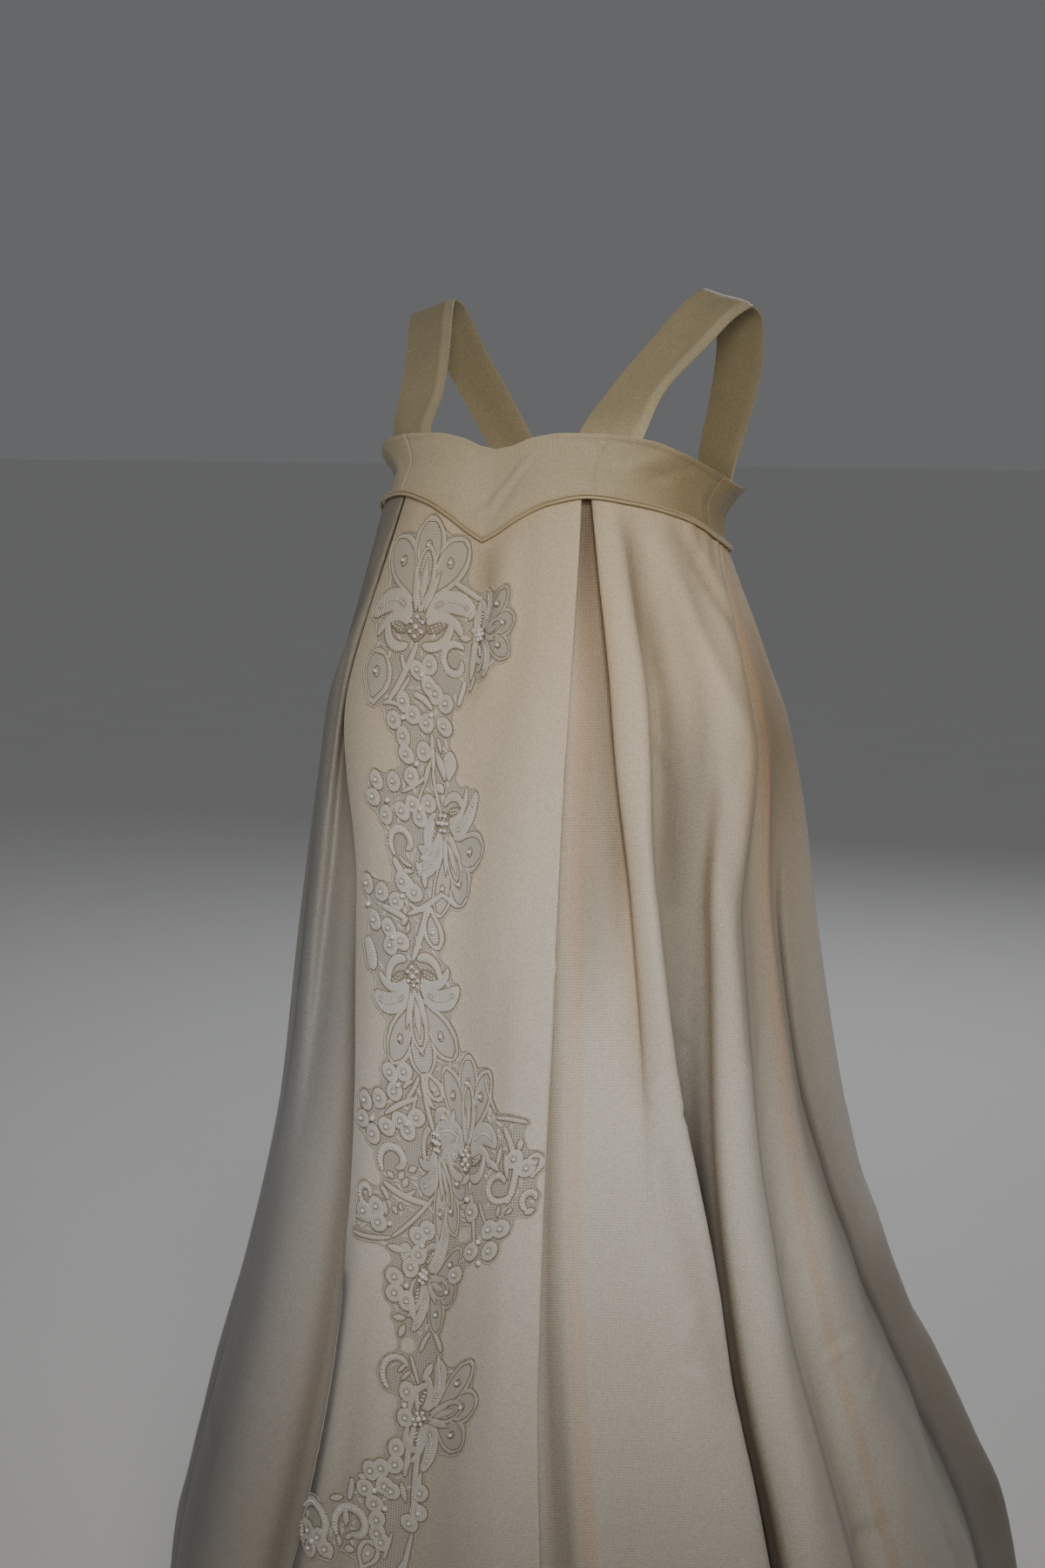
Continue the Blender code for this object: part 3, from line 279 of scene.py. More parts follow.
# Creases pressed or hung into the cloth, as soft troughs (negative) or ridges: where each starts and ends in
# degrees from the centre front and in shares of the way to the hem, its half width and its depth in millimetres.
Crease = namedtuple("Crease", "angle down end_angle end_down width depth")
CREASES = (
    # centre panel: the hollow under the point of the band, and long slack lines
    Crease(1, 0.005, 2, 0.11, 11, -5.0),
    Crease(8, 0.01, 5, 0.16, 12, 1.6),
    Crease(-9, 0.02, -6, 0.20, 14, -1.5),
    Crease(14, 0.30, 12, 0.62, 16, -1.6),
    Crease(-8, 0.52, -12, 0.85, 15, -1.8),
    Crease(10, 0.70, 12, 0.99, 18, 2.2),
    Crease(-2, 0.78, 4, 0.97, 12, -1.6),
    Crease(-14, 0.50, -20, 0.97, 9, -2.0),
    Crease(-10, 0.60, -16, 0.92, 7, 1.2),
    # wearer's left side panel
    Crease(45.5, 0.006, 51, 0.12, 10, -3.6),
    Crease(51, 0.06, 54.5, 0.27, 13, -4.5),
    Crease(55, 0.012, 73, 0.14, 11, 4.5),
    Crease(62, 0.002, 82, 0.07, 8, -3.0),
    Crease(46.5, 0.02, 47, 0.26, 5, -2.0),
    Crease(43.6, 0.02, 44.2, 0.24, 5, 1.4),
    Crease(45.5, 0.148, 54, 0.176, 3.5, -2.0),
    Crease(42.6, 0.398, 47.5, 0.378, 3.5, 2.4),
    Crease(50.0, 0.334, 57, 0.362, 4, -2.4),
    Crease(50.5, 0.398, 57, 0.416, 4, -2.0),
    Crease(30, 0.205, 37, 0.214, 5, -1.4),
    Crease(22, 0.300, 32, 0.312, 5, 1.2),
    Crease(37, 0.480, 46, 0.470, 6, -1.4),
    Crease(41, 0.560, 51, 0.575, 6, 1.3),
    Crease(29, 0.640, 40, 0.630, 7, -1.6),
    Crease(80, 0.576, 90, 0.568, 4.5, 2.6),
    Crease(88, 0.610, 97, 0.592, 4.5, 2.4),
    Crease(70, 0.500, 80, 0.516, 5, -1.8),
    Crease(74, 0.700, 86, 0.690, 6, -2.0),
    Crease(46, 0.42, 54, 0.60, 12, -1.8),
    Crease(50, 0.52, 44, 0.57, 6, 1.3),
    Crease(42, 0.55, 39, 0.70, 10, -1.4),
    Crease(64, 0.18, 68, 0.36, 12, -2.0),
    Crease(66, 0.48, 63, 0.72, 12, 1.8),
    Crease(72, 0.78, 88, 0.775, 8, -2.6),
    Crease(74, 0.70, 80, 0.90, 9, -1.6),
    Crease(45, 0.80, 40, 0.96, 14, -2.2),
    # wearer's right side panel
    Crease(-42, 0.05, -60, 0.16, 13, -2.4),
    Crease(-49, 0.28, -54, 0.55, 14, -2.2),
    Crease(-36, 0.30, -40, 0.44, 8, 1.0),
    Crease(-41.8, 0.10, -41.0, 0.22, 3.5, -1.8),
    Crease(-39.6, 0.11, -39.4, 0.21, 3.5, 1.2),
    Crease(-46, 0.62, -38, 0.635, 4, 1.4),
    Crease(-53, 0.67, -46, 0.71, 4, 1.2),
    Crease(-66, 0.20, -70, 0.44, 12, 1.8),
    Crease(-60, 0.58, -70, 0.80, 12, -2.4),
    Crease(-44, 0.68, -38, 0.95, 14, -2.0),
    Crease(-72, 0.74, -84, 0.78, 8, -2.0),
    # back panels
    Crease(100, 0.05, 112, 0.20, 12, -2.2),
    Crease(94, 0.60, 108, 0.95, 14, -3.0),
    Crease(99, 0.72, 110, 0.80, 8, 2.2),
    Crease(124, 0.30, 130, 0.62, 16, -2.4),
    Crease(140, 0.10, 148, 0.30, 12, -1.8),
    Crease(150, 0.55, 158, 0.86, 16, -2.6),
    Crease(170, 0.20, 174, 0.48, 14, 1.8),
    Crease(-98, 0.06, -108, 0.22, 12, -2.0),
    Crease(-96, 0.58, -106, 0.92, 14, -2.6),
    Crease(-126, 0.34, -133, 0.66, 16, -2.2),
    Crease(-146, 0.12, -140, 0.33, 12, 1.7),
    Crease(-152, 0.60, -160, 0.90, 16, -2.4),
    Crease(-172, 0.26, -168, 0.52, 14, -1.7),
)
CREASE_BOW = 0.35  # of its half width, sideways
CREASE_BOW_TURN = 3.1
CREASE_SHOULDER = 0.35  # of its depth, the other way, beside a crease
CREASE_SHOULDER_PLACE = 1.9  # half widths from its middle

# Small unevenness of the cloth: how far it stands off and its longest and shortest waves, in millimetres.
Waves = namedtuple("Waves", "height longest shortest")
LONG_SLACK = Waves(0.75, 260, 70)
SHORT_SLACK = Waves(0.10, 45, 18)
SEAM_EASE = Waves(0.5, 30, 12)
SLACK_SEED = 11
SLACK_WAVES = 26
SLACK_LEAN = 0.35
SLACK_TILT = 0.3
SLACK_DOWN = 0.45  # how much the way down counts in a wave, against the way across
SETTLED = ((0.0, 0.0), (0.03, 0.35), (0.12, 1.0), (1.0, 1.0))  # the seam holds the cloth flat
EASE_BELOW = 14
EASE_REACH = 22
EASE_FROM_ANGLE = 40
EASE_FADE_ANGLE = 12
HEM_DEPTH = 0.040
HEM_LINE_DENT = 0.35
HEM_LINE_REACH = 0.004


def slack(across, down, waves, seed):
    """The unevenness of hanging cloth, from a few gentle waves of different lengths and directions."""
    draw = np.random.default_rng(seed)
    height = np.zeros(np.broadcast(across, down).shape)
    for _ in range(SLACK_WAVES):
        length = waves.shortest * (waves.longest / waves.shortest) ** draw.random()
        lean = draw.normal(0.0, SLACK_LEAN)
        start = draw.random() * 2 * math.pi
        turn = 2 * math.pi / length
        place = across * math.cos(lean) + SLACK_DOWN * down * math.sin(lean + SLACK_TILT)
        height += np.sin(turn * place + start)
    return height / math.sqrt(SLACK_WAVES)


downs = np.linspace(0.0, 1.0, SKIRT_STEPS + 1)
yoke_angles, _, fold_places = skirt_columns(0.0, BEND_SAMPLES)
yoke_z = edge_height(yoke_angles, "seam_z") - YOKE_GAP
skirt_rows = []
skirt_angles = []
skirt_outs = []
for down in downs:
    angles, outs, _ = skirt_columns(down, BEND_SAMPLES)
    skirt_outs.append(outs * 1000)
    x, y = section_point(SKIRT_SECTIONS, down, angles, outs)
    skirt_rows.append(np.stack([x, y, yoke_z + (HEM_Z - yoke_z) * down], axis=1))
    skirt_angles.append(angles)
skirt_rows = np.array(skirt_rows)
skirt_angles = np.array(skirt_angles)
skirt_outs = np.array(skirt_outs)
# creases lie on the outer layer only, not inside the two pleats
outer = np.ones(skirt_angles.shape[1])
outer[fold_places["panel edge under"] : fold_places["pleat nose"]] = 0
outer[fold_places["pleat nose right"] + 1 : fold_places["panel edge right under"] + 1] = 0
girth = np.radians(1) * section_sizes(SKIRT_SECTIONS, downs)[0][:, None] * 1000
around = skirt_angles * girth
below = downs[:, None] * PANEL_LENGTH * 1000 + 0 * around
creased = np.zeros_like(around)
for crease in CREASES:
    start_x = crease.angle * girth
    start_y = crease.down * PANEL_LENGTH * 1000
    run_x = crease.end_angle * girth - start_x
    run_y = crease.end_down * PANEL_LENGTH * 1000 - start_y
    length = np.hypot(run_x, run_y)
    along = ((around - start_x) * run_x + (below - start_y) * run_y) / length**2
    aside = ((around - start_x) * run_y - (below - start_y) * run_x) / length
    fade = np.clip(along, 0, 1) * np.clip(1 - along, 0, 1) * 4
    bow = CREASE_BOW * crease.width * np.sin(along * CREASE_BOW_TURN)
    off_line = (aside - bow) / crease.width
    bend = bump_at(off_line, 0, 1) - CREASE_SHOULDER * bump_at(off_line, CREASE_SHOULDER_PLACE, 1)
    creased += outer * crease.depth * np.sqrt(fade) * bend
stand_off = creased.copy()
settled = through(SETTLED, downs)[:, None]
stand_off += settled * LONG_SLACK.height * slack(around, below, LONG_SLACK, SLACK_SEED)
stand_off += settled * SHORT_SLACK.height * slack(around, below, SHORT_SLACK, SLACK_SEED + 1)
# gathered ease just under the seam, away from the flat centre panel
from_panel = np.clip((np.abs(skirt_angles) - EASE_FROM_ANGLE) / EASE_FADE_ANGLE, 0, 1)
ease = bump_at(below, EASE_BELOW, EASE_REACH) * from_panel
stand_off += ease * SEAM_EASE.height * slack(around, below, SEAM_EASE, SLACK_SEED + 2)
# the hem is turned up and hand-stitched, which shows as a faint line
to_hem = (1.0 - downs[:, None]) * PANEL_LENGTH
stand_off -= HEM_LINE_DENT * bump_at(to_hem, HEM_DEPTH, HEM_LINE_REACH)

# Marks down the fold lines, each a dent and a colour that multiplies the silk's own. Grey painted shade lies in
# hollows, along creases and over the sides that turn from the key lamp, and brown painted shade lies deep in the
# pleats and gaps. A golden tone along some fold edges is partly age toning and partly painted warm reflection. The
# middle and half width are in millimetres beside the line, and a mirrored mark repeats on the wearer's right.
FoldShadeMark = namedtuple("FoldShadeMark", "fold down end_down aside half_width dent colour amount mirrored")
FOLD_SHADE_MARKS = (
    FoldShadeMark("pleat seam", -0.20, 0.14, 4, 16, 0, "5C564A", 0.80, False),
    FoldShadeMark("pleat return", -0.20, 1.20, 3, 9, 0, "8A7458", 0.50, False),
    FoldShadeMark("underlay", -0.10, 0.34, 10, 13, 0, "94805F", 0.60, False),
    FoldShadeMark("pleat nose", 0.005, 0.20, -1, 9, 0, "E6C084", 0.55, False),
    FoldShadeMark("pleat nose", 0.14, 0.43, -8, 15, 0, "D9BC8C", 0.55, False),
    FoldShadeMark("pleat nose", 0.12, 0.42, -3, 4, 0, "B08A54", 0.40, False),
    FoldShadeMark("ridge edge", 0.06, 1.20, -1, 4, 0.8, "FFFFFF", 0.0, True),
    FoldShadeMark("second ridge front", 0.14, 1.20, -5, 6.0, -1.0, "86704A", 0.74, True),
    FoldShadeMark("second ridge", 0.02, 0.26, 7, 7, 0, "E0C08C", 0.50, False),
    FoldShadeMark("second ridge", -0.10, 0.06, -8, 20, 0, "D4BA96", 0.45, False),
    FoldShadeMark("second ridge back", 0.16, 1.20, 3, 5, -0.8, "8E8274", 0.50, True),
    FoldShadeMark("side ridge", 0.00, 0.24, 16, 32, 0, "C9B69C", 0.50, False),
    FoldShadeMark("side ridge", 0.12, 0.27, 0, 3, -1.6, "5E5040", 0.55, True),
    FoldShadeMark("side crease", 0.19, 1.20, -1, 2.6, -2.4, "574B3C", 0.72, True),
    FoldShadeMark("side crease", 0.05, 1.20, -4, 62, 0, "B2AAA0", 0.72, True),
    FoldShadeMark("gap back", 0.09, 0.60, -6, 32, 0, "B8BEC8", 0.66, False),
    FoldShadeMark("gap front", 0.50, 1.20, 4, 18, 0, "6E4C28", 0.70, False),
    FoldShadeMark("pleat seam", 0.02, 0.38, 16, 18, 0, "B2ABA0", 0.62, False),
    FoldShadeMark("pleat seam", 0.10, 1.20, -15, 10, 0, "84735C", 0.66, False),
    FoldShadeMark("ridge edge", -0.02, 0.13, 11, 9, -2.0, "968C82", 0.70, False),
    FoldShadeMark("back ridge", 0.48, 1.20, -20, 60, 0, "A39378", 0.50, False),
    FoldShadeMark("back ridge", 0.70, 1.20, 15, 90, 0, "94866F", 0.50, False),
    FoldShadeMark("back seam", -0.20, 0.32, -7, 2.2, -1.4, "8E8274", 0.60, False),
    FoldShadeMark("centre valley", -0.05, 0.075, -3, 20, 0, "A3A198", 0.55, False),
    # painted shade over the wearer's right side and back, which turn away from the key lamp
    FoldShadeMark("pleat nose right", -0.10, 1.20, -10, 62, 0, "ADB4C0", 0.80, False),
    FoldShadeMark("second ridge right", -0.10, 1.20, 0, 125, 0, "B7BDC7", 0.76, False),
    FoldShadeMark("pleat seam right", 0.25, 1.20, -2, 16, 0, "957B5E", 0.55, False),
    FoldShadeMark("pleat return right", -0.10, 1.20, 0, 14, 0, "83705A", 0.60, False),
)
MARK_FADE_IN = 0.10
MARK_FADE_OUT = 0.12
DENT_LIMIT = -9  # the cloth leaves its plain folds by no more than this, in millimetres
RISE_LIMIT = 7


def fold_shade_share(mark, name, side):
    """How strongly a mark shows at each point of the skirt, from 0 to 1."""
    aside = arc - arc[:, [fold_places[name]]] - side * mark.aside
    start = np.clip((downs - mark.down) / MARK_FADE_IN, 0, 1)
    end = np.clip((mark.end_down - downs) / MARK_FADE_OUT, 0, 1)
    window = start * start * (3 - 2 * start) * end * end * (3 - 2 * end)
    return bump_at(aside, 0, mark.half_width) * window[:, None]


arc = arc_lengths(skirt_rows, 1) * 1000
fold_shade_shares = []
for mark in FOLD_SHADE_MARKS:
    fold_shade_shares.append((mark, fold_shade_share(mark, mark.fold, 1)))
    if mark.mirrored:
        fold_shade_shares.append((mark, fold_shade_share(mark, mark.fold + " right", -1)))
for mark, share in fold_shade_shares:
    stand_off += mark.dent * share
stand_off = np.clip(stand_off, DENT_LIMIT, RISE_LIMIT)
skirt_rows = skirt_rows + normals_of(skirt_rows) * stand_off[:, :, None] / 1000


def linear(hex_colour):
    """An sRGB hex colour as the linear one that a shader takes."""
    parts = [int(hex_colour[i : i + 2], 16) / 255 for i in (0, 2, 4)]
    return (*[((part + 0.055) / 1.055) ** 2.4 if part > 0.04045 else part / 12.92 for part in parts], 1.0)


def tinted(colours, share, hex_colour):
    """Colours multiplied by one more, by its share at each point."""
    return colours * (1 - share[:, :, None] * (1 - np.array(linear(hex_colour)[:3])))


# Painted shade in the hollows of the folds, down the creases and deep in the gaps of the pleats, and a painted
# highlight along the crests of the creases.
HOLLOW_REACH = 34.0  # a hollow is judged against the cloth this far to either side, in millimetres
HOLLOW_FULL = 9.0
CREASE_SHADE = 0.10  # for each millimetre of depth
CREASE_SHADE_MOST = 0.8
CREASE_SHEEN = 0.022
CREASE_SHEEN_MOST = 0.10
GAP_FROM = 5.0  # a gap begins to darken this far in, in millimetres, and is darkest at the next
GAP_FULL = 30.0
# How much each tint shows, by the way down from the seam (0) to the hem (1).
YELLOWED_AND_WARM_LIT = ((0.0, 1.0), (0.10, 0.8), (0.45, 0.0), (1.0, 0.0))
SHADED_TOWARDS_HEM = ((0.0, 0.0), (0.40, 0.0), (0.75, 0.8), (1.0, 1.0))
GAPS_DARKEN = ((0.0, 0.0), (0.32, 0.05), (0.52, 1.0), (1.0, 1.0))
hollow = np.empty_like(arc)
for line, places in enumerate(arc):
    near = bump_at(places[:, None], places[None, :], HOLLOW_REACH)
    hollow[line] = near @ skirt_outs[line] / near.sum(axis=1) - skirt_outs[line]
# The colour multiplied into the silk: a warm tint near the seam that is partly the silk's yellowing and partly
# painted warm light, painted shade growing towards the hem, the painted shade and highlight of the folds, and the
# fold marks.
ageing = np.ones((*arc.shape, 3))
ageing = tinted(ageing, through(YELLOWED_AND_WARM_LIT, downs)[:, None], "FFF0D6")
ageing = tinted(ageing, through(SHADED_TOWARDS_HEM, downs)[:, None], "C9C5BE")
ageing = tinted(ageing, np.clip(hollow / HOLLOW_FULL, 0, 1) * outer, "DEDBD4")
ageing = tinted(ageing, np.clip(-creased * CREASE_SHADE, 0, CREASE_SHADE_MOST), "A39C94")
ageing = ageing * (1 + np.clip(creased * CREASE_SHEEN, 0, CREASE_SHEEN_MOST))[:, :, None]
gaps = np.zeros(arc.shape[1])
gaps[fold_places["ridge edge"] + 1 : fold_places["second ridge front"]] = 1
gaps[fold_places["second ridge front right"] + 1 : fold_places["ridge edge right"]] = 1
gaps = gaps * through(GAPS_DARKEN, downs)[:, None]
ageing = tinted(ageing, np.clip((-skirt_outs - GAP_FROM) / (GAP_FULL - GAP_FROM), 0, 1) * gaps, "46341F")
for mark, share in fold_shade_shares:
    ageing = tinted(ageing, mark.amount * share, mark.colour)


def add_node(material, kind, links=(), **settings):
    """One shader node, with its settings, and each input given a number, a colour or another node's output."""
    made = material.node_tree.nodes.new(kind)
    for setting, value in settings.items():
        setattr(made, setting, value)
    for place, source in links:
        if isinstance(source, bpy.types.NodeSocket):
            material.node_tree.links.new(source, made.inputs[place])
        else:
            made.inputs[place].default_value = source
    return made


def new_material(name, roughness, sheen=0.0):
    """A Principled material that is neither metallic nor clear, and its shader."""
    material = bpy.data.materials.new(name)
    material.use_nodes = True
    shader = material.node_tree.nodes["Principled BSDF"]
    shader.inputs["Roughness"].default_value = roughness
    shader.inputs["Metallic"].default_value = 0.0
    shader.inputs["Sheen Weight"].default_value = sheen
    return material, shader


def mixed(material, share, first, second, blend="MIX"):
    """The colour between two others by a share, or the second blended over the first."""
    links = [(0, share), (6, first), (7, second)]
    return add_node(material, "ShaderNodeMix", links, data_type="RGBA", blend_type=blend).outputs[2]


def ranged(material, value, low, high, to_low, to_high):
    """A value between two limits, turned into one between two others."""
    links = [("Value", value), ("From Min", low), ("From Max", high), ("To Min", to_low), ("To Max", to_high)]
    return add_node(material, "ShaderNodeMapRange", links).outputs["Result"]


def noise(material, scale, *links):
    """Soft noise through the object's own space."""
    place = add_node(material, "ShaderNodeTexCoord").outputs["Object"]
    return add_node(material, "ShaderNodeTexNoise", [("Vector", place), ("Scale", scale), *links]).outputs["Fac"]


def bumped(material, shader, height, strength, distance):
    """Fine relief on a shader, from a height."""
    links = [("Height", height), ("Strength", strength), ("Distance", distance)]
    bump = add_node(material, "ShaderNodeBump", links)
    material.node_tree.links.new(bump.outputs["Normal"], shader.inputs["Normal"])


WAVE_LENGTH = 0.314  # the spacing of a Wave texture of scale 1
WEAVE_SPACING = 0.0022  # real threads are 0.1 mm apart, too fine to show, so they are drawn far coarser
GRAIN = 480.0
CLOUDS = 7.0
TURNING_DEPTH = 0.0115  # a turning shows this far from its seam, and has faded out at the next
TURNING_FADED = 0.0150
TURNING_SHOWS = 0.50


def satin(name, light, shade, turning, roughness, sheen):
    """Silk peau-de-soie: a dull, close weave whose soft grain and slow warm and grey clouds catch the light, with a
    deeper tone where a turning lies behind it, all multiplied by each point's colour for tone and painted shade."""
    material, shader = new_material(name, roughness, sheen)
    clouds = noise(material, CLOUDS, ("Detail", 3.0), ("Roughness", 0.55))
    grain = noise(material, GRAIN, ("Detail", 2.0), ("Roughness", 0.7))
    toned = mixed(material, clouds, linear(shade), linear(light))
    turned = add_node(material, "ShaderNodeAttribute", attribute_name="from_seam").outputs["Fac"]
    behind = ranged(material, turned, TURNING_DEPTH, TURNING_FADED, TURNING_SHOWS, 0.0)
    doubled = mixed(material, behind, toned, linear(turning))
    grained = mixed(material, 1.0, doubled, ranged(material, grain, 0.3, 0.7, 0.86, 1.10), "MULTIPLY")
    # each point's colour for its tone and for painted shade, given by its sheet
    tone_and_shade = add_node(material, "ShaderNodeAttribute", attribute_name="ageing").outputs["Color"]
    colour = mixed(material, 1.0, grained, tone_and_shade, "MULTIPLY")
    material.node_tree.links.new(colour, shader.inputs["Base Color"])
    cut = add_node(material, "ShaderNodeUVMap", uv_map="cloth").outputs["UV"]
    threads = []
    for direction in ("X", "Y"):
        wave = add_node(
            material,
            "ShaderNodeTexWave",
            [("Vector", cut), ("Scale", WAVE_LENGTH / WEAVE_SPACING), ("Distortion", 1.5), ("Detail", 1.0)],
            bands_direction=direction,
        )
        threads.append(wave.outputs["Fac"])
    weave = add_node(material, "ShaderNodeMath", [(0, threads[0]), (1, threads[1])], operation="MULTIPLY")
    rough = add_node(material, "ShaderNodeMath", [(0, weave.outputs[0]), (1, grain)], operation="ADD")
    bumped(material, shader, rough.outputs[0], 0.45, 0.0006)
    return material


def mesh_data(name, mesh):
    """A finished mesh, from one in the making."""
    data = bpy.data.meshes.new(name)
    mesh.to_mesh(data)
    mesh.free()
    return data


def shown(name, data):
    """A new object with this data, in the scene."""
    made = bpy.data.objects.new(name, data)
    bpy.context.scene.collection.objects.link(made)
    return made


def thicken(piece, thickness):
    wall = piece.modifiers.new("thickness", "SOLIDIFY")
    wall.thickness = thickness
    wall.offset = 0.0


def grid_place(vertex, lines, columns):
    """The line and column of a vertex of a new grid, counted from its top left."""
    return round((1 - vertex.co.y) / 2 * lines), round((vertex.co.x + 1) / 2 * columns)


def cloth_sheet(name, rows, thickness, material, from_seam=None, colours=None):
    """A thin sheet of cloth through points given as [row, column], top row first, with its own cut as a UV map in
    metres, each point's distance from a pressed-open seam and the colour multiplied into it there for its tone and
    for painted shade."""
    row_count, column_count = rows.shape[:2]
    mesh = bmesh.new()
    bmesh.ops.create_grid(mesh, x_segments=column_count - 1, y_segments=row_count - 1, size=1.0)
    data = mesh_data(name, mesh)
    flat = np.empty(len(data.vertices) * 3, np.float32)
    data.vertices.foreach_get("co", flat)
    flat = flat.reshape(-1, 3)
    column = np.rint((flat[:, 0] + 1) / 2 * (column_count - 1)).astype(int)
    row = np.rint((1 - flat[:, 1]) / 2 * (row_count - 1)).astype(int)
    data.vertices.foreach_set("co", rows[row, column].astype(np.float32).ravel())
    corners = np.empty(len(data.loops), np.int32)
    data.loops.foreach_get("vertex_index", corners)
    cut = np.stack([arc_lengths(rows, 1)[row, column], arc_lengths(rows, 0)[row, column]], axis=1)
    chart = data.uv_layers.new(name="cloth")
    chart.data.foreach_set("uv", cut[corners].astype(np.float32).ravel())
    seam = data.attributes.new("from_seam", "FLOAT", "POINT")
    distance = np.ones(rows.shape[:2]) if from_seam is None else from_seam
    seam.data.foreach_set("value", distance[row, column].astype(np.float32))
    # the colour multiplied into the cloth at each point, for its tone and for painted shade
    tone_and_shade = data.attributes.new("ageing", "FLOAT_COLOR", "POINT")
    multiples = np.ones((*rows.shape[:2], 4))
    if colours is not None:
        multiples[:, :, :3] = colours
    tone_and_shade.data.foreach_set("color", multiples[row, column].astype(np.float32).ravel())
    data.update()
    data.shade_smooth()
    # a crisp cut edge, so that no false shade runs along a seam
    edges = np.empty(len(data.loops), np.int32)
    data.loops.foreach_get("edge_index", edges)
    crisp = data.attributes.new("sharp_edge", "BOOLEAN", "EDGE")
    crisp.data.foreach_set("value", np.bincount(edges, minlength=len(data.edges)) == 1)
    piece = shown(name, data)
    data.materials.append(material)
    thicken(piece, thickness)
    return piece


skirt_satin = satin("silk_peau_de_soie", "F0EBE2", "E2DCD1", "EED3BC", 0.50, 0.08)
# Each panel: the fold lines where it starts and ends, which of the two shows its turning, and its flat cut.
Panel = namedtuple("Panel", "node start end start_turning end_turning width length area")
SKIRT_PANELS = (
    Panel("skirt_back_right", "back seam right", "side seam right", False, True, 0.87, 1.29, 0.69),
    Panel("skirt_side_right", "side seam right", "pleat seam right", False, False, 0.38, 1.27, 0.37),
    Panel("skirt_front", "pleat seam right", "pleat seam", False, False, 0.57, 1.25, 0.49),
    Panel("skirt_side_left", "pleat seam", "side seam", True, False, 0.47, 1.27, 0.40),
    Panel("skirt_back_left", "side seam", "back seam", True, False, 0.89, 1.30, 0.69),
)
for panel in SKIRT_PANELS:
    rows = skirt_rows[:, fold_places[panel.start] : fold_places[panel.end] + 1]
    measured = arc_lengths(rows, 1)
    from_seam = np.ones_like(measured)
    if panel.start_turning:
        from_seam = np.minimum(from_seam, measured)
    if panel.end_turning:
        from_seam = np.minimum(from_seam, measured[:, -1:] - measured)
    # this panel's colour for tone and painted shade
    tone_and_shade_here = ageing[:, fold_places[panel.start] : fold_places[panel.end] + 1]
    piece = cloth_sheet("satin_" + panel.node, rows, SKIRT_SATIN, skirt_satin, from_seam, tone_and_shade_here)
    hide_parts(panel.node)
    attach(piece, "root")


# ---------------------------------------------------------------- bodice band
# A short band of the same satin over a firm backing, in five panels: centre front between two princess seams, two
# side fronts and two backs. Its top edge is turned over and understitched, and the seams are pressed open.

BAND_SATIN = 0.0014
BAND_SECTIONS = (
    Section(0.00, 0.155, 0.124, 0.108, 2.30),
    Section(0.25, 0.150, 0.121, 0.117, 2.25),
    Section(0.50, 0.148, 0.115, 0.126, 2.20),
    Section(0.75, 0.153, 0.108, 0.134, 2.30),
    Section(1.00, 0.162, 0.103, 0.141, 2.40),
)
BAND_STEPS = 30
PRINCESS_ANGLE = 36
SIDE_SEAM_ANGLE = 88
TURN_DEPTH = 0.005  # how far below the top edge the understitching runs
EDGE_ROLL = 0.9  # heights in millimetres, places and reaches in metres or degrees
EDGE_ROLL_BELOW = 0.0015
EDGE_ROLL_REACH = 0.0022
UNDERSTITCH_DENT = 0.55
UNDERSTITCH_REACH = 0.0011
SEAM_DENT = 0.9
SEAM_REACH = 0.55
TURNING_RISE = 0.25
TURNING_REACH = 3.0
ARM_ANGLE = 97
ARM_ROLL = 7.0
ARM_REACH = 5.0
ARM_FROM = 0.70
ARM_CURVE = 1.6
BAND_COLUMNS = 1.4  # to each degree
# Soft pulls and ripples in the band: angle, share of its height, half widths in degrees and share, depth in mm.
Ripple = namedtuple("Ripple", "angle up lean half_angle half_up depth")
BAND_RIPPLES = (
    Ripple(-4, 0.34, 30, 1.8, 0.30, -1.1),
    Ripple(2, 0.40, 28, 2.0, 0.34, 1.0),
    Ripple(7, 0.38, 24, 1.8, 0.26, -0.8),
    Ripple(50, 0.62, 26, 4.5, 0.30, 2.0),
    Ripple(58, 0.50, 26, 4.0, 0.34, -1.8),
    Ripple(70, 0.72, -14, 5.0, 0.22, -1.0),
    Ripple(82, 0.40, 0, 3.0, 0.45, 1.0),
    Ripple(-48, 0.58, -22, 4.0, 0.30, 1.6),
    Ripple(-60, 0.50, -20, 4.0, 0.30, -1.5),
    Ripple(-80, 0.45, 0, 3.0, 0.45, 1.0),
    Ripple(104, 0.60, 10, 4.0, 0.40, -1.2),
    Ripple(126, 0.55, 18, 5.0, 0.30, 1.0),
    Ripple(152, 0.50, -12, 4.5, 0.35, -0.9),
    Ripple(-110, 0.60, -10, 4.5, 0.40, -1.1),
    Ripple(-138, 0.50, 14, 5.0, 0.30, 1.0),
    Ripple(-160, 0.55, 8, 4.0, 0.35, -0.8),
)


def band_point(degrees, up, out=0.0):
    """A point of the band at an angle, and a share of its height above the empire seam."""
    x, y = section_point(BAND_SECTIONS, up, degrees, out)
    low = edge_height(degrees, "seam_z")
    high = edge_height(degrees, "top_z")
    return np.stack([x, y, low + (high - low) * up + 0 * x], axis=-1)


# the band is tinted darker and yellower towards its sides and back, most over the wearer's left side
BAND_SIDE_TINT = ((-180, 0.9), (-75, 0.6), (-30, 0.0), (12, 0.0), (45, 0.5), (75, 1.0), (180, 0.9))


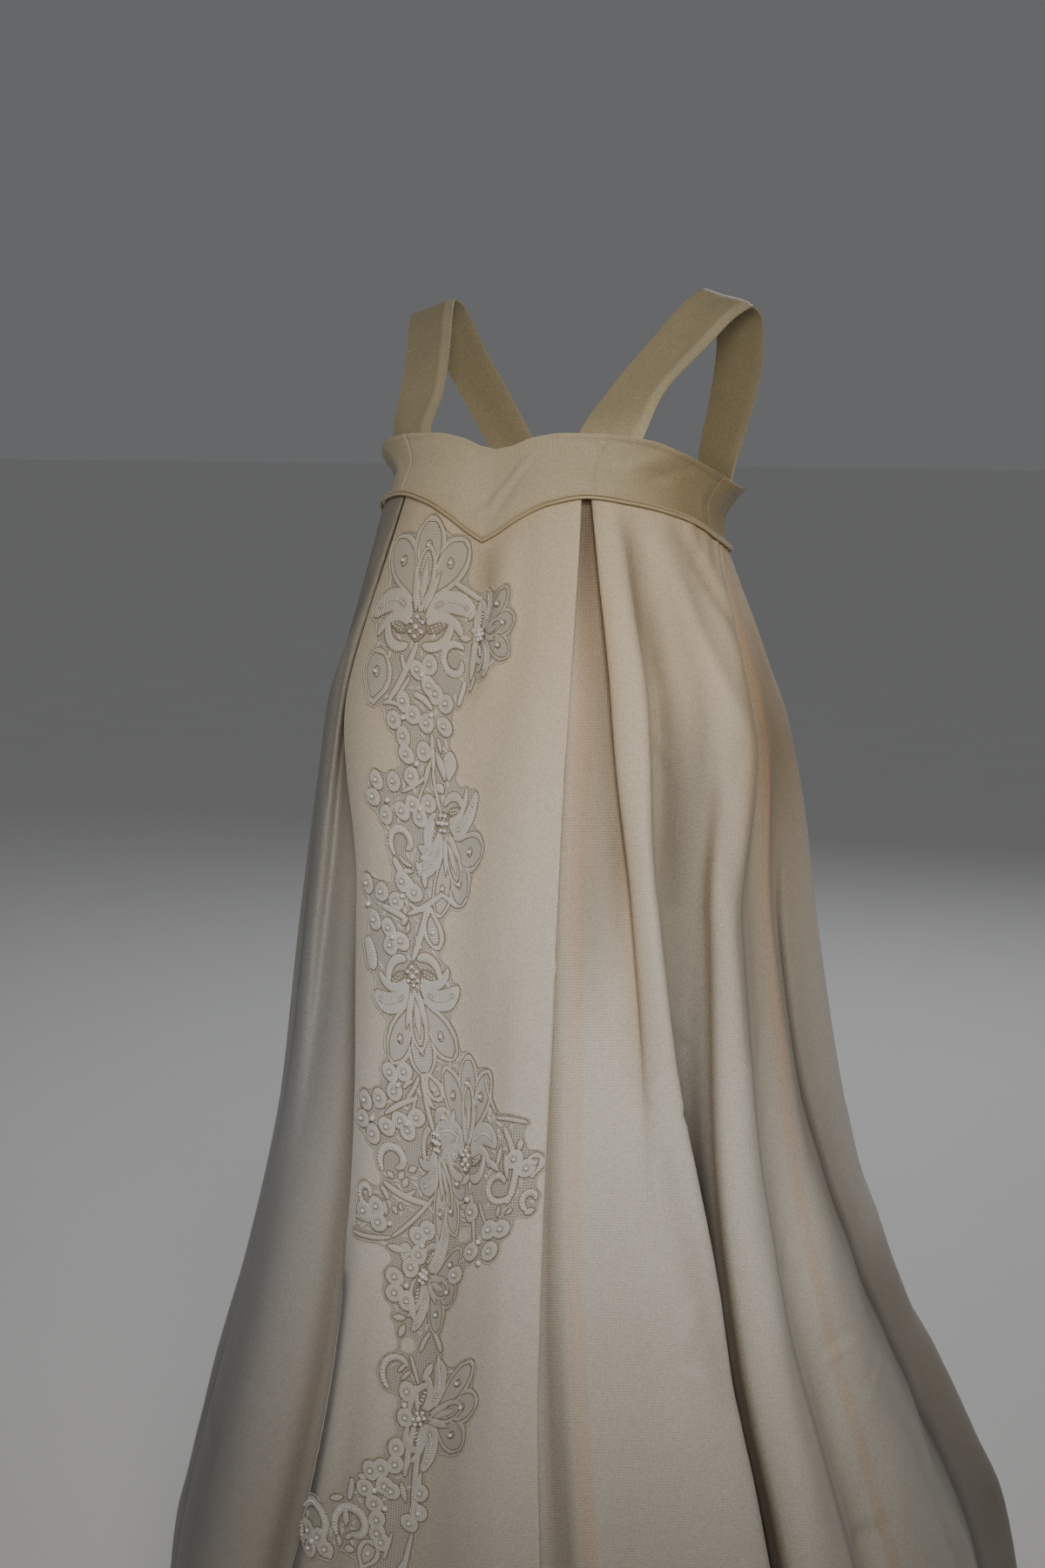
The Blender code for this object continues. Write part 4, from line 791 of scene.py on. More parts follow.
def band_rows(start, end, count):
    """Points of one band panel with its turned top edge, its seams drawn in and its ripples."""
    angles = np.linspace(start, end, count + 1)
    ups = np.linspace(1, 0, BAND_STEPS + 1)
    rows = np.array([band_point(angles, np.full_like(angles, up)) for up in ups])
    up = ups[:, None]
    height = (edge_height(angles, "top_z") - edge_height(angles, "seam_z"))[None, :]
    from_top = (1 - up) * height
    out = EDGE_ROLL * bump_at(from_top, EDGE_ROLL_BELOW, EDGE_ROLL_REACH)
    out = out - UNDERSTITCH_DENT * bump_at(from_top, TURN_DEPTH, UNDERSTITCH_REACH)
    for seam in (-SIDE_SEAM_ANGLE, -PRINCESS_ANGLE, PRINCESS_ANGLE, SIDE_SEAM_ANGLE, 180, -180):
        out = out - SEAM_DENT * bump_at(angles, seam, SEAM_REACH)[None, :]
        out = out + TURNING_RISE * bump_at(angles, seam, TURNING_REACH)[None, :]
    for ripple in BAND_RIPPLES:
        middle = ripple.angle + ripple.lean * (up - ripple.up)
        across = bump_at(angles[None, :], middle, ripple.half_angle)
        out = out + ripple.depth * across * bump_at(up, ripple.up, ripple.half_up)
    # the slack top edge rolls outwards under each arm
    near_top = np.clip((up - ARM_FROM) / (1 - ARM_FROM), 0, 1) ** ARM_CURVE
    for arm in (ARM_ANGLE, -ARM_ANGLE):
        out = out + ARM_ROLL * bump_at(angles, arm, ARM_REACH)[None, :] * near_top
    return rows + normals_of(rows) * out[:, :, None] / 1000


BAND_PANELS = (
    Panel("bodice_back_right", -180, -SIDE_SEAM_ANGLE, False, True, 0.256, 0.064, 0.0142),
    Panel("bodice_side_right", -SIDE_SEAM_ANGLE, -PRINCESS_ANGLE, True, True, 0.130, 0.060, 0.0068),
    Panel("bodice_front", -PRINCESS_ANGLE, PRINCESS_ANGLE, True, True, 0.214, 0.079, 0.0124),
    Panel("bodice_side_left", PRINCESS_ANGLE, SIDE_SEAM_ANGLE, True, True, 0.130, 0.060, 0.0068),
    Panel("bodice_back_left", SIDE_SEAM_ANGLE, 180, True, False, 0.256, 0.064, 0.0142),
)
band_satin = satin("backed_silk_satin", "E6D8B8", "D6C7A5", "D3BE96", 0.46, 0.08)
for panel in BAND_PANELS:
    rows = band_rows(panel.start, panel.end, round((panel.end - panel.start) * BAND_COLUMNS))
    share = through(BAND_SIDE_TINT, np.linspace(panel.start, panel.end, rows.shape[1]))
    colours = tinted(np.ones(rows.shape), share[None, :], "CEC8B4")
    piece = cloth_sheet("satin_" + panel.node, rows, BAND_SATIN, band_satin, None, colours)
    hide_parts(panel.node)
    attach(piece, "root")


# ---------------------------------------------------------------- empire piping
# Bias satin folded over cord and caught in the empire seam all round, with a second, thinner fold above it, so
# that the seam shows as two fine raised lines.

PIPING_POINTS = 360
Cord = namedtuple("Cord", "stand_off lift radius")
PIPING_CORDS = (Cord(0.0034, 0.0006, 0.0014), Cord(0.0024, 0.0032, 0.0010))


def tube(name, routes, radius, material, closed, sides=2):
    """Round cord along each route, made a mesh; sides is the curve's own bevel resolution."""
    line = bpy.data.curves.new(name, "CURVE")
    line.dimensions = "3D"
    line.bevel_depth = radius
    line.bevel_resolution = sides
    line.use_fill_caps = True
    for route in routes:
        spline = line.splines.new("POLY")
        spline.points.add(len(route) - 1)
        spline.points.foreach_set("co", np.column_stack([route, np.ones(len(route))]).astype(np.float32).ravel())
        spline.use_cyclic_u = closed
    drawn = shown(name + "_line", line)
    data = bpy.data.meshes.new_from_object(drawn.evaluated_get(bpy.context.evaluated_depsgraph_get()))
    bpy.data.objects.remove(drawn)
    bpy.data.curves.remove(line)
    data.name = name
    data.materials.clear()
    data.materials.append(material)
    data.shade_smooth()
    piece = shown(name, data)
    return piece


def piping_route(cord):
    angles = np.linspace(-180, 180, PIPING_POINTS, endpoint=False)
    x, y = section_point(BAND_SECTIONS, 0.0, angles, cord.stand_off)
    return np.stack([x, y, edge_height(angles, "seam_z") + cord.lift], axis=1)


def toned_material(name, roughness, sheen, scale, first, second):
    """A material whose colour drifts between two tones, with its shader and that colour."""
    material, shader = new_material(name, roughness, sheen)
    colour = mixed(material, noise(material, scale), linear(first), linear(second))
    material.node_tree.links.new(colour, shader.inputs["Base Color"])
    return material, shader, colour


piping_satin, _, _ = toned_material("bias_satin_piping", 0.42, 0.2, 40.0, "C2AE88", "DCCBA8")
for number, cord in enumerate(PIPING_CORDS):
    piece = tube("satin_piping_%d" % (number + 1), [piping_route(cord)], cord.radius, piping_satin, True)
    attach(piece, "root")
    if number == 0:
        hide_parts("piping")


# ---------------------------------------------------------------- shoulder straps
# Two wide straps of doubled satin, folded along one edge and slip-stitched along the other, where the turning
# shows as a lighter strip. Their ends are sewn inside the band at front and back.

STRAP_SATIN = 0.0016
STRAP_WIDTH = 0.047
STRAP_TUCK = 0.15  # share of the band's height that an end reaches down
STRAP_TUCK_GAP = 0.0017 + 0.0019  # how far inside the band an end lies
STRAP_EDGE_FALL = 1.6  # heights in millimetres, places and reaches in metres
STRAP_EDGE_REACH = 0.006
STRAP_RIDGE = 0.35  # where the turning ends
STRAP_RIDGE_PLACE = 0.0085
STRAP_RIDGE_REACH = 0.0022
STRAP_SLACK = Waves(0.5, 120, 30)
STRAP_SEED = 31
STRAP_TAPER = 0.03
STRAP_TURNING_SHIFT = 0.005
STRAP_KEY_COLUMNS = 4
STRAP_STEPS = 130
STRAP_FRONT_ANGLES = (26.0, 46.0)
STRAP_BACK_ANGLES = (153.0, 135.0)
SHOULDER_SLOPE = math.radians(16)
STRAP_COLUMNS = 24
StrapPoint = namedtuple("StrapPoint", "x y z turn slope")
STRAP_ROUTE = (
    StrapPoint(0.1060, -0.0900, -0.0800, 6, 0.3),
    StrapPoint(0.1270, -0.0440, -0.0345, 2, 0.8),
    StrapPoint(0.1420, -0.0150, -0.0070, 0, 1.0),
    StrapPoint(0.1480, 0.0000, 0.0000, 0, 1.0),
    StrapPoint(0.1480, 0.0160, -0.0060, 0, 1.0),
    StrapPoint(0.1420, 0.0370, -0.0380, -2, 0.8),
    StrapPoint(0.1240, 0.0600, -0.0880, -8, 0.4),
    StrapPoint(0.1050, 0.0750, -0.1350, -16, 0.1),
)


def strap_rows(mirror):
    """Points of a strap as [row along, column across]; mirror is 1 on the wearer's left and -1 on the right."""
    reach = np.linspace(-0.5, 0.5, STRAP_KEY_COLUMNS + 1)[:, None] * STRAP_WIDTH
    middle_rows = []
    for point in STRAP_ROUTE:
        turn = math.radians(point.turn)
        tilt = SHOULDER_SLOPE * point.slope
        across = np.array([math.cos(turn) * math.cos(tilt), math.sin(turn) * math.cos(tilt), -math.sin(tilt)])
        middle_rows.append(np.array(point[:3]) + reach * across)
    tucks = []
    for ends, ups in ((STRAP_FRONT_ANGLES, (1 - STRAP_TUCK, 1.0)), (STRAP_BACK_ANGLES, (1.0, 1 - STRAP_TUCK))):
        angles = np.linspace(*ends, STRAP_KEY_COLUMNS + 1)
        tucks.append([band_point(angles, np.full_like(angles, up), -STRAP_TUCK_GAP) for up in ups])
    keys = np.array([*tucks[0], *middle_rows, *tucks[1]])
    steps = np.linalg.norm(np.diff(keys.mean(axis=1), axis=0), axis=1)
    lengths = np.concatenate([[0.0], np.cumsum(steps)])
    along = np.linspace(0, lengths[-1], STRAP_STEPS + 1)
    rows = [
        [smooth_value(lengths, keys[:, j, k], along) for k in range(3)]
        for j in range(STRAP_KEY_COLUMNS + 1)
    ]
    rows = np.transpose(rows, (2, 0, 1))
    shares = np.linspace(0, 1, STRAP_COLUMNS + 1)
    key_shares = np.linspace(0, 1, STRAP_KEY_COLUMNS + 1)
    fine = [[np.interp(shares, key_shares, row[:, k]) for k in range(3)] for row in rows]
    fine = np.transpose(fine, (0, 2, 1))
    outward = -normals_of(fine)
    distance = (shares[None, :] * STRAP_WIDTH) * np.ones((STRAP_STEPS + 1, 1))
    lit = distance if mirror < 0 else STRAP_WIDTH - distance
    lift = -STRAP_EDGE_FALL * bump_at(lit, 0.0, STRAP_EDGE_REACH)
    lift += STRAP_RIDGE * bump_at(lit, STRAP_RIDGE_PLACE, STRAP_RIDGE_REACH)
    lift += STRAP_SLACK.height * slack(distance * 1000, along[:, None] * 1000, STRAP_SLACK, STRAP_SEED + mirror)
    taper = np.clip(np.minimum(along, along[-1] - along) / STRAP_TAPER, 0, 1)[:, None]
    fine = fine + outward * (lift * taper)[:, :, None] / 1000
    return fine * np.array([mirror, 1, 1]), lit


strap_satin = satin("doubled_silk_satin", "C3B591", "B3A682", "DCCFAC", 0.48, 0.08)
for node, mirror in (("strap_left", 1), ("strap_right", -1)):
    rows, lit = strap_rows(mirror)
    piece = cloth_sheet("satin_" + node, rows, STRAP_SATIN, strap_satin, lit + STRAP_TURNING_SHIFT)
    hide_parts(node)
    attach(piece, "root")


# ---------------------------------------------------------------- lace net
# Fine net that carries the corded motifs, cut out round them and laid on the centre panel. Its place on the panel is
# worked out flat, in millimetres across from the centre valley and below the dip of the empire seam.

Motif = namedtuple("Motif", "kind from_x from_y to_x to_y width bend")
Scroll = namedtuple("Scroll", "x y outer inner start sweep width")
Flower = namedtuple("Flower", "x y right_x right_y up_x up_y")
# One large flower in its own millimetres, from its pearl heart, with y up the flower.
FLOWER = (
    Motif("beaded", 0, -11, 0, 9, 19, 0),
    Motif("petal", 8, 20, 43, 71, 34, -25),
    Motif("petal", -8, 20, -43, 71, 34, 25),
    Motif("petal", 1, 30, 0, 86, 36, 0),
    Motif("crescent", 8, 7, 55, 11, 19, -115),
    Motif("crescent", -8, 7, -55, 11, 19, 115),
    Motif("arch", 1, 12, 1, 64, 23, 0),
    Motif("leaf", 1, 18, 1, 53, 8, 0),
    Motif("leaf", 5, 12, 17, 44, 8, -15),
    Motif("leaf", -4, 12, -11, 48, 9, 15),
    Motif("stem", 9, 3, 45, -5, 9, -110),
    Motif("stem", -9, 3, -45, -5, 9, 110),
    Motif("stem", 33, 4, 7, -13, 9, -120),
    Motif("stem", -33, 4, -7, -13, 9, 120),
    Motif("beaded", 11, -4, 30, 4, 9, -20),
    Motif("beaded", -11, -4, -30, 4, 9, 20),
)
# Where each large flower lies: its heart, and how its own right and up run on the panel, as some fall in the fold.
FLOWERS = (
    Flower(-57, 92, 1.00, -0.33, 0.00, -1.00),
    Flower(-39, 367, -0.71, 0.28, 0.18, 0.93),
    Flower(-16, 234, -0.50, 0.66, 0.25, 0.71),
    Flower(-11, 496, -0.30, 0.50, 0.30, 0.88),
    Flower(20, 509, 0.57, 0.09, -0.06, -1.03),
    Flower(-14, 609, -0.22, 0.81, 0.39, 0.14),
    Flower(-8, 726, -0.07, 0.84, 0.69, -0.24),
    Flower(7, 78, 0.06, 0.66, 0.46, 0.02),
    Flower(-24, 1008, -0.85, 0.05, 0.02, 0.80),
)
# Stems, leaves and single petals between the flowers, in millimetres on the panel. The rows of SPRAYS, but for its
# last group, of SCROLLS, but for the last two, of FLORETS and of BLOSSOM_HEARTS were printed by another program and
# copy the layout of one real lace. They are to be replaced by a layout of its own.
SPRAYS = (
    # from the first flower down to the side flower
    Motif("stem", -55, 103, -78, 156, 6, 20),
    Motif("stem", -69, 117, -61, 130, 5, -20),
    Motif("stem", -58, 131, -69, 151, 4, 0),
    Motif("petal", -98, 163, -95, 119, 36, -15),
    Motif("stem", -83, 159, -59, 158, 4, 60),
    Motif("stem", -52, 142, -33, 148, 6, 50),
    Motif("stem", -26, 44, 5, 47, 6, 10),
    Motif("stem", 2, 49, 1, 114, 7, 0),
    Motif("stem", -4, 115, -7, 137, 5, 0),
    Motif("stem", 5, 111, 2, 123, 4, 0),
    Motif("leaf", -5, 74, 3, 72, 5, 0),
    Motif("leaf", -14, 84, -3, 80, 6, 0),
    Motif("leaf", -7, 67, -2, 55, 5, 0),
    Motif("leaf", 1, 80, -1, 91, 4, 0),
    Motif("stem", -31, 167, -27, 196, 5, 0),
    Motif("stem", -28, 195, -18, 228, 4, -10),
    Motif("leaf", -28, 176, -35, 190, 5, 0),
    Motif("leaf", -30, 187, -35, 212, 5, -20),
    Motif("leaf", -26, 179, -15, 200, 8, 20),
    Motif("petal", -12, 198, -11, 174, 14, 0),
    Motif("leaf", -23, 204, -16, 210, 9, 0),
    Motif("stem", -34, 201, -59, 223, 4, 20),
    Motif("stem", -35, 208, -41, 226, 3, -20),
    Motif("stem", -26, 235, -31, 267, 7, -15),
    Motif("leaf", -38, 270, -27, 266, 7, 0),
    Motif("leaf", -25, 167, -20, 179, 5, 0),
    # from the side flower down to the second flower
    Motif("stem", -64, 279, -42, 295, 8, -30),
    Motif("stem", -58, 275, -45, 279, 4, -60),
    Motif("leaf", -55, 286, -43, 283, 5, 0),
    Motif("leaf", -34, 279, -32, 293, 6, 0),
    Motif("leaf", -41, 274, -36, 282, 7, 0),
    Motif("stem", -16, 291, -48, 320, 5, 15),
    Motif("stem", -19, 292, -2, 298, 5, 20),
    Motif("stem", -73, 322, -46, 324, 6, 20),
    Motif("stem", -47, 310, -32, 311, 4, -40),
    Motif("stem", -29, 303, -41, 356, 6, 10),
    Motif("stem", -39, 334, -32, 343, 4, -20),
    Motif("petal", -27, 306, -18, 339, 20, -20),
    Motif("stem", -90, 354, -81, 377, 14, 50),
    Motif("leaf", -52, 330, -47, 321, 5, 0),
    Motif("leaf", -47, 335, -45, 325, 4, 0),
    Motif("stem", -27, 444, -14, 489, 5, -15),
    Motif("stem", -30, 448, -40, 470, 4, 20),
    Motif("stem", -30, 466, -59, 489, 5, -20),
    Motif("stem", -35, 453, -43, 462, 4, -40),
    Motif("stem", -31, 462, -36, 485, 3, 10),
    Motif("petal", -23, 441, -9, 462, 18, -10),
    Motif("leaf", -26, 457, -14, 470, 6, -20),
    Motif("petal", -7, 486, -6, 465, 16, 0),
    Motif("leaf", 1, 485, 3, 465, 7, 0),
    # left scrolls and their leaves
    Motif("stem", -55, 543, -12, 549, 6, -35),
    Motif("leaf", -53, 534, -46, 537, 6, 0),
    Motif("leaf", -42, 537, -38, 529, 6, 0),
    Motif("leaf", -34, 528, -27, 522, 6, 0),
    Motif("leaf", -38, 542, -34, 533, 6, 0),
    Motif("stem", -41, 549, -27, 541, 4, -60),
    Motif("stem", -84, 594, -44, 585, 4, -20),
    Motif("stem", -44, 585, -10, 541, 4, -15),
    Motif("leaf", -41, 565, -46, 559, 5, 0),
    Motif("leaf", -50, 569, -54, 557, 5, 0),
    Motif("leaf", -37, 561, -40, 556, 4, 0),
    Motif("stem", -57, 548, -50, 556, 5, 40),
    Motif("petal", -81, 581, -56, 569, 13, 0),
    # branch over the valley
    Motif("stem", 57, 486, 70, 520, 5, 20),
    Motif("stem", 70, 518, 64, 549, 6, 30),
    Motif("leaf", 56, 501, 53, 519, 5, 0),
    Motif("leaf", 60, 507, 64, 530, 5, 0),
    Motif("leaf", 42, 510, 56, 522, 6, 0),
    Motif("leaf", 50, 526, 60, 523, 5, 0),
    Motif("stem", 49, 478, 78, 485, 4, 10),
    Motif("stem", 34, 442, 49, 475, 3, -20),
    Motif("leaf", 73, 497, 72, 507, 6, 0),
    Motif("petal", 84, 529, 87, 509, 16, 0),
    Motif("leaf", 70, 552, 64, 557, 4, 0),
    Motif("leaf", 58, 549, 57, 559, 4, 0),
    Motif("leaf", 80, 557, 89, 554, 6, 0),
    Motif("leaf", 24, 521, 17, 530, 7, 0),
    Motif("stem", 28, 538, 36, 581, 4, 10),
    Motif("stem", 38, 545, 48, 565, 3, -20),
    # third flower and below
    Motif("stem", 2, 537, -5, 597, 4, 15),
    Motif("leaf", -24, 629, -18, 649, 7, -15),
    Motif("leaf", -38, 649, -26, 647, 6, 0),
    Motif("leaf", -31, 664, -27, 652, 6, 0),
    Motif("stem", -4, 653, -12, 672, 4, -20),
    Motif("stem", -0, 653, 8, 668, 5, 20),
    Motif("leaf", 1, 677, -8, 695, 7, 0),
    Motif("stem", -20, 677, -11, 699, 4, 0),
    Motif("stem", -14, 700, -10, 721, 5, 0),
    Motif("leaf", -48, 593, -29, 593, 7, 0),
    Motif("petal", -33, 601, -31, 586, 12, 0),
    Motif("stem", 6, 671, 10, 700, 5, -10),
    Motif("leaf", -27, 699, -18, 688, 4, 0),
    Motif("leaf", -30, 693, -23, 684, 4, 0),
    # fourth flower and last scrolls
    Motif("stem", -12, 733, -18, 779, 6, -10),
    Motif("stem", -6, 734, -7, 824, 6, -10),
    Motif("leaf", -15, 754, -18, 777, 6, 0),
    Motif("leaf", -3, 770, -9, 796, 7, 0),
    Motif("leaf", -6, 796, -0, 810, 7, 0),
    Motif("leaf", -7, 806, -11, 819, 7, 0),
    Motif("leaf", -21, 783, -15, 800, 6, 0),
    Motif("stem", -65, 792, -67, 811, 6, 15),
    Motif("leaf", -85, 815, -72, 810, 6, 0),
    Motif("leaf", -69, 819, -68, 834, 7, 0),
    Motif("leaf", -68, 852, -58, 851, 7, 0),
    Motif("leaf", -75, 843, -73, 853, 6, 0),
    Motif("leaf", -68, 844, -61, 838, 5, 0),
    Motif("leaf", -119, 862, -105, 855, 6, 0),
    Motif("leaf", -120, 848, -109, 846, 8, 0),
    Motif("leaf", -89, 857, -88, 848, 8, 0),
    Motif("leaf", -59, 787, -51, 788, 6, 0),
    Motif("petal", -51, 865, -41, 839, 21, 10),
    Motif("stem", -32, 852, -26, 828, 4, 0),
    Motif("stem", -81, 866, -89, 848, 6, 30),
    # below the knee, to the last flower
    Motif("stem", -8, 824, -22, 990, 6, -12),
    Motif("stem", -14, 850, -42, 884, 5, 30),
    Motif("stem", -14, 880, 10, 916, 5, -30),
    Motif("leaf", -22, 868, -52, 892, 17, 25),
    Motif("leaf", -14, 900, 20, 924, 17, -25),
    Motif("leaf", -16, 925, -46, 950, 15, 25),
    Motif("leaf", -18, 950, 12, 972, 15, -25),
    Motif("petal", -26, 905, -40, 938, 18, 10),
)
SCROLLS = (
    Scroll(-16, 104, 15, 6, -60, -330, 7),
    Scroll(-55, 263, 15, 5, 120, 300, 7),
    Scroll(-47, 523, 15, 5, 130, 310, 7),
    Scroll(-71, 558, 10, 3, 60, 330, 6),
    Scroll(56, 533, 15, 5, 20, 330, 6),
    Scroll(85, 546, 9, 3, 110, 260, 6),
    Scroll(-27, 691, 20, 6, 120, 200, 6),
    Scroll(-100, 843, 25, 7, 120, 330, 8),
    Scroll(-61, 831, 20, 6, 140, 330, 8),
    Scroll(-36, 787, 7, 3, 0, 300, 4),
    Scroll(8, 880, 16, 5, -120, 310, 7),
    Scroll(-50, 965, 14, 5, 60, -310, 6),
)
# Small round florets, and the pearls at the middle of each group of them.
FLORETS = (
    (-40, 115), (-51, 123), (-38, 131), (-31, 135), (-20, 139), (-19, 157), (-37, 160), (-51, 158), (-70, 168),
    (-59, 178), (-62, 151), (-55, 191), (-38, 183), (-49, 207), (-86, 222), (-67, 217), (-89, 237), (-74, 247),
    (-57, 238), (-46, 229), (-31, 223), (-39, 237), (-93, 310), (-75, 311), (-81, 336), (-54, 295), (-42, 300),
    (-59, 313), (-65, 337), (-52, 343), (-62, 350), (-56, 453), (-43, 448), (-51, 467), (-80, 485), (-65, 478),
    (-82, 501), (-69, 509), (-56, 498), (-44, 489), (-30, 482), (-37, 495), (-72, 573), (-60, 565), (-57, 577),
    (30, 553), (50, 568), (61, 568), (33, 585), (52, 585), (-22, 578), (-14, 571), (-20, 593), (-26, 605),
    (-39, 616), (-38, 629), (-27, 633), (17, 604), (-21, 707), (-21, 729), (-48, 780), (-39, 776), (-52, 796),
    (-43, 807), (-35, 790), (-40, 820), (-29, 793), (-39, 831), (-35, 838), (-11, 816), (-3, 805), (-3, 788),
    (-107, 851), (-94, 851), (-103, 864), (-87, 859), (68, 513), (79, 521), (-27, 770), (-27, 756),
)
BLOSSOM_HEARTS = (
    (-45, 125), (-59, 163), (-32, 152), (-43, 195), (-71, 234), (-38, 230), (-52, 306), (-87, 325), (-59, 342),
    (-47, 460), (-69, 496), (-37, 489), (-46, 574), (42, 577), (-17, 584), (-28, 620), (-22, 718), (-43, 795),
    (-33, 808), (-99, 856), (44, 594), (26, 542),
)

FLORET_LENGTH = 17
FLORET_WIDTH = 15
# Share of a motif's width at shares of its length.
PROFILES = {
    "petal": (
        (0.0, 0.20), (0.18, 0.50), (0.36, 0.84), (0.56, 1.00), (0.74, 0.93), (0.89, 0.60), (0.97, 0.28), (1.0, 0.04),
    ),
    "leaf": ((0.0, 0.15), (0.18, 0.66), (0.38, 0.98), (0.60, 0.92), (0.82, 0.55), (0.95, 0.20), (1.0, 0.03)),
    "crescent": ((0.0, 0.20), (0.15, 0.62), (0.40, 0.98), (0.65, 1.00), (0.85, 0.76), (0.95, 0.48), (1.0, 0.06)),
    "stem": (
        (0.0, 0.40), (0.05, 0.78), (0.25, 0.95), (0.50, 1.00), (0.75, 0.95), (0.92, 0.70), (0.97, 0.45), (1.0, 0.06),
    ),
    "floret": ((0.0, 0.20), (0.12, 0.66), (0.35, 0.97), (0.60, 1.00), (0.82, 0.80), (0.94, 0.48), (1.0, 0.06)),
}
PROFILES["arch"] = PROFILES["petal"]
PROFILES["beaded"] = PROFILES["leaf"]
PROFILES["scroll"] = PROFILES["stem"]
PROFILES["sprig"] = PROFILES["leaf"]

front_start = fold_places["panel edge right"]
front_end = fold_places["panel edge"] + 1
front_rows = skirt_rows[:, front_start:front_end]
front_normals = normals_of(skirt_rows)[:, front_start:front_end]
front_spans = arc_lengths(front_rows, 1) * 1000
front_middle = fold_places["centre valley"] - front_start
front_spans = front_spans - front_spans[:, front_middle : front_middle + 1]


def on_panel(flat, lift):
    """Points of the centre panel's surface for flat places in millimetres, lifted off it by so many millimetres."""
    across = flat[..., 0].ravel()
    below = flat[..., 1].ravel()
    lifts = np.broadcast_to(lift, flat.shape[:-1]).ravel()
    down = np.clip(below / 1000 / PANEL_LENGTH, 0, 1) * SKIRT_STEPS
    i = np.minimum(down.astype(int), SKIRT_STEPS - 1)
    v = (down - i)[:, None]
    spans = front_spans[i] * (1 - v) + front_spans[i + 1] * v
    across = np.clip(across, spans[:, 0], spans[:, -1])
    j = np.clip((spans <= across[:, None]).sum(axis=1) - 1, 0, spans.shape[1] - 2)
    each = np.arange(len(j))
    u = ((across - spans[each, j]) / (spans[each, j + 1] - spans[each, j]))[:, None]
    made = []
    for grid in (front_rows, front_normals):
        upper = grid[i, j] * (1 - u) + grid[i, j + 1] * u
        lower = grid[i + 1, j] * (1 - u) + grid[i + 1, j + 1] * u
        made.append(upper * (1 - v) + lower * v)
    place, normal = made
    normal = normal / np.linalg.norm(normal, axis=1, keepdims=True)
    return (place + normal * lifts[:, None] / 1000).reshape(*flat.shape[:-1], 3)


def kind_of(motif):
    return "scroll" if isinstance(motif, Scroll) else motif.kind


def length_of(motif):
    if isinstance(motif, Scroll):
        return (motif.outer + motif.inner) / 2 * math.radians(abs(motif.sweep))
    half_bend = math.radians(motif.bend) / 2 or 1e-6
    return math.hypot(motif.to_x - motif.from_x, motif.to_y - motif.from_y) * half_bend / math.sin(half_bend)


def spine(motif, shares):
    """Flat points along the middle of a motif, the direction across it there, and half its width."""
    if isinstance(motif, Scroll):
        turn = np.radians(motif.start + motif.sweep * shares)
        radius = motif.outer + (motif.inner - motif.outer) * shares
        spin = math.radians(motif.sweep)
        draw_in = motif.inner - motif.outer
        middle = np.stack([motif.x + radius * np.cos(turn), motif.y + radius * np.sin(turn)], axis=1)
        run_x = draw_in * np.cos(turn) - radius * np.sin(turn) * spin
        run_y = draw_in * np.sin(turn) + radius * np.cos(turn) * spin
        heading = np.arctan2(run_y, run_x)
    else:
        bend = math.radians(motif.bend) or 1e-6
        start = math.atan2(motif.to_y - motif.from_y, motif.to_x - motif.from_x) - bend / 2
        heading = start + bend * shares
        reach = length_of(motif) / bend
        middle = np.stack(
            [
                motif.from_x + reach * (np.sin(heading) - math.sin(start)),
                motif.from_y - reach * (np.cos(heading) - math.cos(start)),
            ],
            axis=1,
        )
    half = motif.width / 2 * through(PROFILES[kind_of(motif)], shares)
    return middle, np.stack([-np.sin(heading), np.cos(heading)], axis=1), half


def laid(points, flower):
    """A flower's own points as flat places on the panel."""
    if flower is None:
        return points
    right = np.array([flower.right_x, flower.right_y])
    up = np.array([flower.up_x, flower.up_y])
    return np.array([flower.x, flower.y]) + points[..., :1] * right + points[..., 1:] * up


def motif_outline(motif, flower, points, inset=0.0):
    """The closed outline of a motif on the panel, drawn in by so many millimetres."""
    ends = inset / length_of(motif)
    shares = ends + (1 - 2 * ends) * (1 - np.cos(np.linspace(0, math.pi, points // 2))) / 2
    middle, side, half = spine(motif, shares)
    half = np.maximum(half - inset, 0.05 * half)[:, None]
    return laid(np.concatenate([middle - side * half, (middle + side * half)[::-1]]), flower)


def floret_motifs():
    """Each floret points away from the middle of its group."""
    hearts = np.array(BLOSSOM_HEARTS, float)
    for x, y in FLORETS:
        nearest = hearts[np.argmin(np.hypot(*(hearts - (x, y)).T))]
        away = np.array([x, y]) - nearest
        step = away / max(np.hypot(*away), 1.0) * FLORET_LENGTH / 2
        yield Motif("floret", x - step[0], y - step[1], x + step[0], y + step[1], FLORET_WIDTH, 0)


lace = [(motif, flower) for flower in FLOWERS for motif in FLOWER]
lace += [(motif, None) for motif in (*SPRAYS, *SCROLLS, *floret_motifs())]


def distance_outside(points, outline):
    """Distance of points from a closed outline, and nothing for the points inside it."""
    run = np.roll(outline, -1, axis=0) - outline
    ends_y = np.roll(outline[:, 1], -1)
    length = np.maximum((run**2).sum(axis=1), 1e-9)
    from_start = points[:, None, :] - outline[None]
    t = np.clip((from_start * run).sum(axis=2) / length, 0, 1)
    gap = np.linalg.norm(from_start - t[:, :, None] * run, axis=2).min(axis=1)
    crosses = (outline[:, 1] > points[:, None, 1]) != (ends_y > points[:, None, 1])
    rise = np.where(np.abs(run[:, 1]) < 1e-12, 1e-12, run[:, 1])
    at = outline[:, 0] + (points[:, None, 1] - outline[:, 1]) * run[:, 0] / rise
    inside = (crosses & (points[:, None, 0] < at)).sum(axis=1) % 2 == 1
    return np.where(inside, 0.0, gap)


